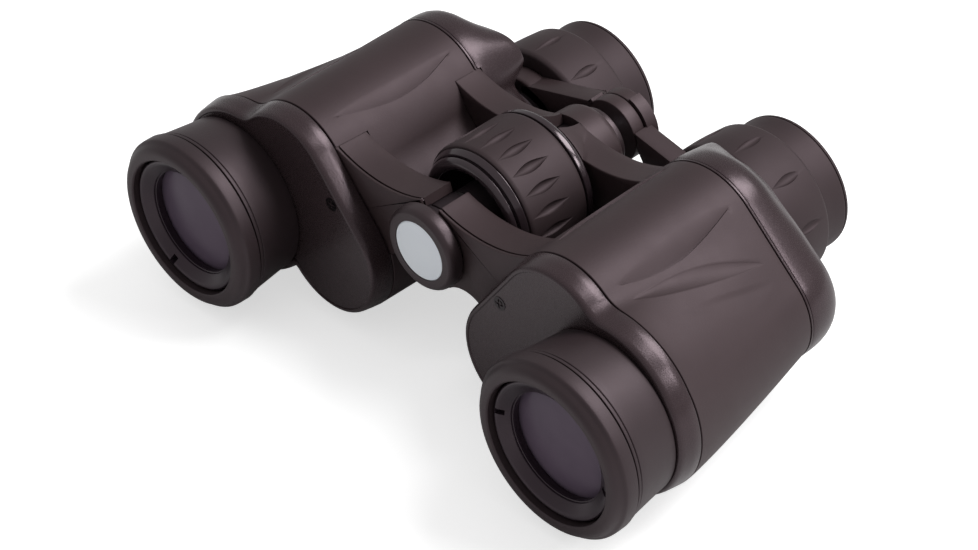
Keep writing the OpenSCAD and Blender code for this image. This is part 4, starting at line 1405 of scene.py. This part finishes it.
@dataclass
class Eyepiece:
    """Grip, eyecup, cell and eye lens of an eyepiece, and the bridge that carries it."""

    grip: Span = measured("right_diopter_grip")
    cup: Span = measured("right_eyecup")
    cell: Span = measured("right_ocular_cell")
    lens: Span = measured("right_eye_lens")
    hinge: Span = measured("hinge_cap")
    left_bridge: Span = measured("left_bridge_arm")
    collar_r: float = 16.2
    tube_r: float = 13.2
    hub_r: float = 8.0
    rod_r: float = 3.0
    collar_len: float = 5.4
    gap: float = 0.3
    lens_curve: float = 40.0
    bar_depth: float = 9.6
    left_bar: tuple[float, ...] = (40, 7.2, 1.2)
    right_bar: tuple[float, ...] = (16, 4.8, 3.4)
    link_end: float = 112.0
    bar_end: float = 98.0
    dents: Dents = Dents(5.7, 1.2, 0.8, 10, 3.5)
    dents_at: float = 7.1

    def make_grip(self) -> Workpiece:
        """Turns the grip and presses its leaf dents."""
        y0, y1, r = self.grip.y0, self.grip.y1, self.grip.r
        bore, neck = self.cell.r + 0.05, self.cup.r + self.gap
        grip = Workpiece.turned("right_grip", self.cup.axis, [
            (self.tube_r + 0.05, y0), (r - 0.7, y0, 0.4), (r, y0 + 0.9, 0.5),
            (r, y0 + 6.4, 2.0), (r - 0.65, y1 - 0.7, 0.4), (r - 1.3, y1, 0.3),
            (neck, y1, 0.1), (neck, y1 - 2.7), (bore, y1 - 2.7),
            (bore, y0 + 1.2), (self.tube_r + 0.05, y0 + 1.2)], 192)
        return self.dents.press(grip, self.cup.axis, r - 0.05, y0 + self.dents_at)

    def make_cup(self) -> Workpiece:
        """Turns the soft eyecup with its fine rim line."""
        y0, y1, r, bore = self.cup.y0, self.cup.y1, self.cup.r, self.cell.r
        seat = self.cell.y1
        return Workpiece.turned("right_soft_eyecup", self.cup.axis, [
            (bore + 0.05, y0), (r, y0), (r - 0.15, y1 - 5.4, 1.2),
            (r + 0.15, y1 - 1.5, 0.3), (r + 0.1, y1 - 1.2, 0.08),
            (r - 0.2, y1 - 1.15), (r - 0.2, y1 - 0.95), (r + 0.1, y1 - 0.9, 0.08),
            (r - 0.1, y1, 0.35), (bore + 0.5, y1, 0.5), (bore - 0.6, seat + 1.2, 0.6),
            (bore - 2, seat + 0.02), (bore + 0.05, seat + 0.02)])

    def make_cell(self) -> Workpiece:
        """Turns the eye lens cell with fine baffle steps."""
        y1, r = self.cell.y1, self.cell.r
        clear = self.lens.r - 1.2
        return Workpiece.turned("right_eye_cell", self.cup.axis, [
            (clear, self.lens.y1 + 0.05), (clear + 0.3, y1 - 0.7), (clear + 0.8, y1, 0.2),
            (r, y1), (r, self.grip.y0 + 3), (r - 2.7, self.grip.y0 + 3),
            (r - 2.7, self.lens.y0), (self.lens.r + 0.02, self.lens.y0),
            (self.lens.r + 0.02, self.lens.y1 + 0.05)])

    def make_lens(self) -> Workpiece:
        """Turns the eye lens with a true spherical face."""
        curve = dome(self.lens.r, self.lens_curve, 16)[::-1]
        face = [(r, self.lens.y1 - depth) for r, depth in curve]
        front = self.lens.y0 + curve[0][1]
        return Workpiece.turned(
            "right_eye_glass", self.cup.axis, [(0, front), (self.lens.r, front)] + face)

    def make_collar(self, name: str) -> Workpiece:
        """Turns the ring that carries an eyepiece."""
        y0, y1 = self.left_bridge.y0, self.left_bridge.y0 + self.collar_len
        return Workpiece.turned(name, self.cup.axis, [
            (self.tube_r + 0.03, y0), (self.collar_r - 0.4, y0, 0.3),
            (self.collar_r, y0 + 0.6, 0.4), (self.collar_r, y1 - 0.6, 0.4),
            (self.collar_r - 0.4, y1, 0.3), (self.tube_r + 0.03, y1)])

    def make_bar(self, name: str, gap_angle: float, rise: float, fall: float) -> Workpiece:
        """Lofts the flat bar from the hub out to the collar.

        Args:
            name: Name of the bar.
            gap_angle: Where its hollow round the other hub begins, in degrees.
            rise: Height of its top at the hub above the hinge axis.
            fall: Depth of its top at the collar below the collar's top.

        Returns:
            The bar.
        """
        axis = self.hinge.axis
        clear = self.hub_r + self.gap
        top = axis + (0, rise)
        drop = self.cup.axis + (-1, self.collar_r - fall)
        start = math.radians(gap_angle)
        slope = (drop.z - top.z) / (drop.x - top.x)
        depth = self.bar_depth
        stop = math.radians(self.bar_end)
        upper = next(
            x for x in spread(0, 20, 400)
            if math.atan2(x, rise + slope * x) >= start
            and math.hypot(x, rise + slope * x) >= clear)
        outline = [Point(drop.x, drop.z - 3), Point(drop.x, drop.z)]
        outline += [
            Point(x, drop.z + (x - drop.x) * slope) for x in spread(drop.x, upper, 8, 1)]
        a0 = math.atan2(upper, top.z + slope * upper - axis.z)
        outline += [
            Point(clear * math.sin(a), axis.z + clear * math.cos(a)) for a in spread(a0, stop, 14)]
        outline += [Point(12.0, top.z + slope * 12 - depth), Point(drop.x - 2, drop.z - depth)]
        y0, y1 = self.left_bridge.y0, self.left_bridge.y0 + self.collar_len
        stations = (
            (y0, 0.35), (y0 + 0.1, 0.1), (y0 + 0.35, 0),
            (y1 - 0.35, 0), (y1 - 0.1, 0.1), (y1, 0.35))
        return Workpiece.lofted(name, [
            [(p.x, y, p.z) for p in Hinge.shrink(outline, less)] for y, less in stations])

    def make_hub(self, y0: float, y1: float, bore: float, start: float) -> Workpiece:
        """Turns a hub of the bridge and its link to the bar."""
        axis = self.hinge.axis
        tube = Workpiece.turned("hub", axis, [
            (bore, y0), (self.hub_r, y0, 0.25), (self.hub_r, y1, 0.25), (bore, y1)], 96)
        radii = (self.hub_r - 0.5, self.hub_r + 0.7)
        return tube.add(sector("link", axis, (start, self.link_end, 24), radii, (y0, y1)))

    def make_bridges(self) -> None:
        """Builds the two bridge arms."""
        y0 = self.left_bridge.y0
        end = y0 + self.collar_len + 2
        split = (y0 + end) / 2
        left = self.make_collar("right_part").add(
            self.make_bar("bar", *self.left_bar),
            self.make_hub(y0, split - self.gap / 2, self.rod_r, self.left_bar[0] + 2))
        twin = left.mirrored("left_bridge")
        bpy.data.objects.remove(left.obj)
        dress(twin, ARM, "left_bridge_arm")
        right = self.make_collar("right_bridge").add(
            self.make_bar("bar", *self.right_bar),
            self.make_hub(
                split + self.gap / 2, end - self.gap, self.rod_r + 0.05, self.right_bar[0] + 2))
        dress(right, ARM, "right_bridge_arm")

    def build(self) -> None:
        """Builds both eyepieces and the bridge."""
        grip = self.make_grip()
        twin = grip.mirrored("left_grip")
        dress(grip, RUBBER, "right_diopter_grip")
        dress(twin, RUBBER, "left_eyepiece_grip")
        dress_pair(self.make_cup(), RUBBER, "eyecup")
        dress_pair(self.make_cell(), MATT, "ocular_cell")
        dress_pair(self.make_lens(), LENS, "eye_lens", angle=60)
        self.make_bridges()


# ---------- parts carried over ----------


@dataclass
class CarriedOver:
    """CAD nodes whose shape is right and that only need their finish."""

    finishes: dict[str, Finish] = field(default_factory=lambda: {
        "objective_flint": LENS, "field_lens": LENS, "front_prism": PRISM, "rear_prism": PRISM,
        "prism_shelf": MATT, "prism_clips": STEEL, "cover_screws": BLUED, "guide_tube": MATT,
        "ocular_tube": MATT, "lens_spacer": MATT, "hinge_pin": STEEL, "hinge_tube": STEEL,
        "focus_rod": STEEL, "front_washer": NYLON, "rear_washer": NYLON})

    def build(self) -> None:
        """Finishes each node that no piece replaces."""
        for name, node in frame["nodes"].items():
            key = name.replace("left_", "").replace("right_", "")
            finish = self.finishes.get(key)
            if finish is None:
                continue
            node.data.materials.clear()
            node.data.materials.append(finish.make())
            LOG.info("%s: kept, %s", name, finish.name)


# ---------- studio ----------


@dataclass
class Studio:
    """Camera, floor and soft lights."""

    azimuth: float = 48.19
    elevation: float = 37.58
    roll: float = -4.08
    distance: float = 681.47
    target: tuple[float, float, float] = (10.26, -23.29, 27.196)
    lens: float = 113.57
    world_fill: float = 0.56
    floor_pale: float = 0.8
    floor_glow: float = 0.6
    boxes: tuple[tuple[str, Spot, float, float], ...] = (
        ("key_box", (0.34, 0.48, 0.8), 0.5, 7.0), ("side_box", (0.78, 0.33, 0.54), 0.24, 1.9))

    def place_camera(self) -> None:
        """Stands the camera at its angle."""
        a, e, turn = (math.radians(v) for v in (self.azimuth, self.elevation, self.roll))
        back = Vector((math.sin(a) * math.cos(e), -math.cos(a) * math.cos(e), math.sin(e)))
        right = Vector((math.cos(a), math.sin(a), 0))
        up = back.cross(right)
        across = right * math.cos(turn) + up * math.sin(turn)
        upward = up * math.cos(turn) - right * math.sin(turn)
        place = (Vector(self.target) + back * self.distance) * MM
        camera = bpy.data.objects.new("camera", bpy.data.cameras.new("camera"))
        bpy.context.scene.collection.objects.link(camera)
        basis = Matrix((across, upward, back)).transposed().to_4x4()
        camera.matrix_world = Matrix.Translation(place) @ basis
        camera.data.lens = self.lens
        camera.data.sensor_width = 36
        bpy.context.scene.camera = camera

    def light(self, name: str, place: Spot, size: float, power: float) -> None:
        """Hangs a soft box that looks at the middle of the object.

        Args:
            name: Name of the lamp.
            place: Its place in metres.
            size: Its side in metres.
            power: Its power in watts.
        """
        data = bpy.data.lights.new(name, "AREA")
        data.shape = "RECTANGLE"
        data.size = data.size_y = size
        data.energy = power
        lamp = bpy.data.objects.new(name, data)
        bpy.context.scene.collection.objects.link(lamp)
        aim = Vector((0, 0, 0.03)) - Vector(place)
        turn = aim.to_track_quat("-Z", "Y").to_matrix().to_4x4()
        lamp.matrix_world = Matrix.Translation(place) @ turn

    def seen_directly(self, graph: Graph) -> Value:
        """Gives 1 where a camera ray or one through glass looks."""
        path = graph.node("ShaderNodeLightPath", {}, {})
        seen = Value(graph, path.outputs["Is Camera Ray"])
        return (seen + Value(graph, path.outputs["Is Transmission Ray"])).between(0.0, 1.0)

    def make_floor(self) -> None:
        """Lays a plain pale floor that keeps the shadow."""
        Workpiece.clear_selection()
        bpy.ops.mesh.primitive_plane_add(size=8, location=(0, 0, 0))
        floor = bpy.context.active_object
        floor.name = "floor"
        graph = Graph(bpy.data.materials.new("pale_floor"))
        pale = (*(self.floor_pale,) * 3, 1)
        matt = graph.node("ShaderNodeBsdfDiffuse", {}, {"Color": pale})
        strength = self.seen_directly(graph) * self.floor_glow
        glow = graph.node("ShaderNodeEmission", {}, {"Strength": strength})
        both = graph.node("ShaderNodeAddShader", {}, {0: matt.outputs[0], 1: glow.outputs[0]})
        graph.node("ShaderNodeOutputMaterial", {}, {"Surface": both.outputs[0]})
        floor.data.materials.append(graph.block)

    def light_world(self) -> None:
        """Fills the world with soft light and shows it white."""
        world = bpy.data.worlds.new("studio")
        bpy.context.scene.world = world
        graph = Graph(world)
        seen = self.seen_directly(graph)
        strength = seen * (1 - self.world_fill) + self.world_fill
        shader = graph.node("ShaderNodeBackground", {}, {"Strength": strength})
        graph.node("ShaderNodeOutputWorld", {}, {"Surface": shader.outputs[0]})

    def build(self) -> None:
        """Sets up the studio."""
        bpy.context.scene.view_settings.view_transform = "Standard"
        self.place_camera()
        self.make_floor()
        self.light_world()
        for box in self.boxes:
            self.light(*box)


def main() -> None:
    """Builds the binoculars piece by piece."""
    logging.basicConfig(level=logging.INFO, format="%(message)s", stream=sys.stdout)
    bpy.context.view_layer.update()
    Studio().build()
    casing, hinge = Casing(), Hinge()
    casing.build(hinge)
    hinge.build(casing)
    Objective().build()
    FocusWheel().build()
    Eyepiece().build()
    CarriedOver().build()


if __name__ == "__main__":
    main()
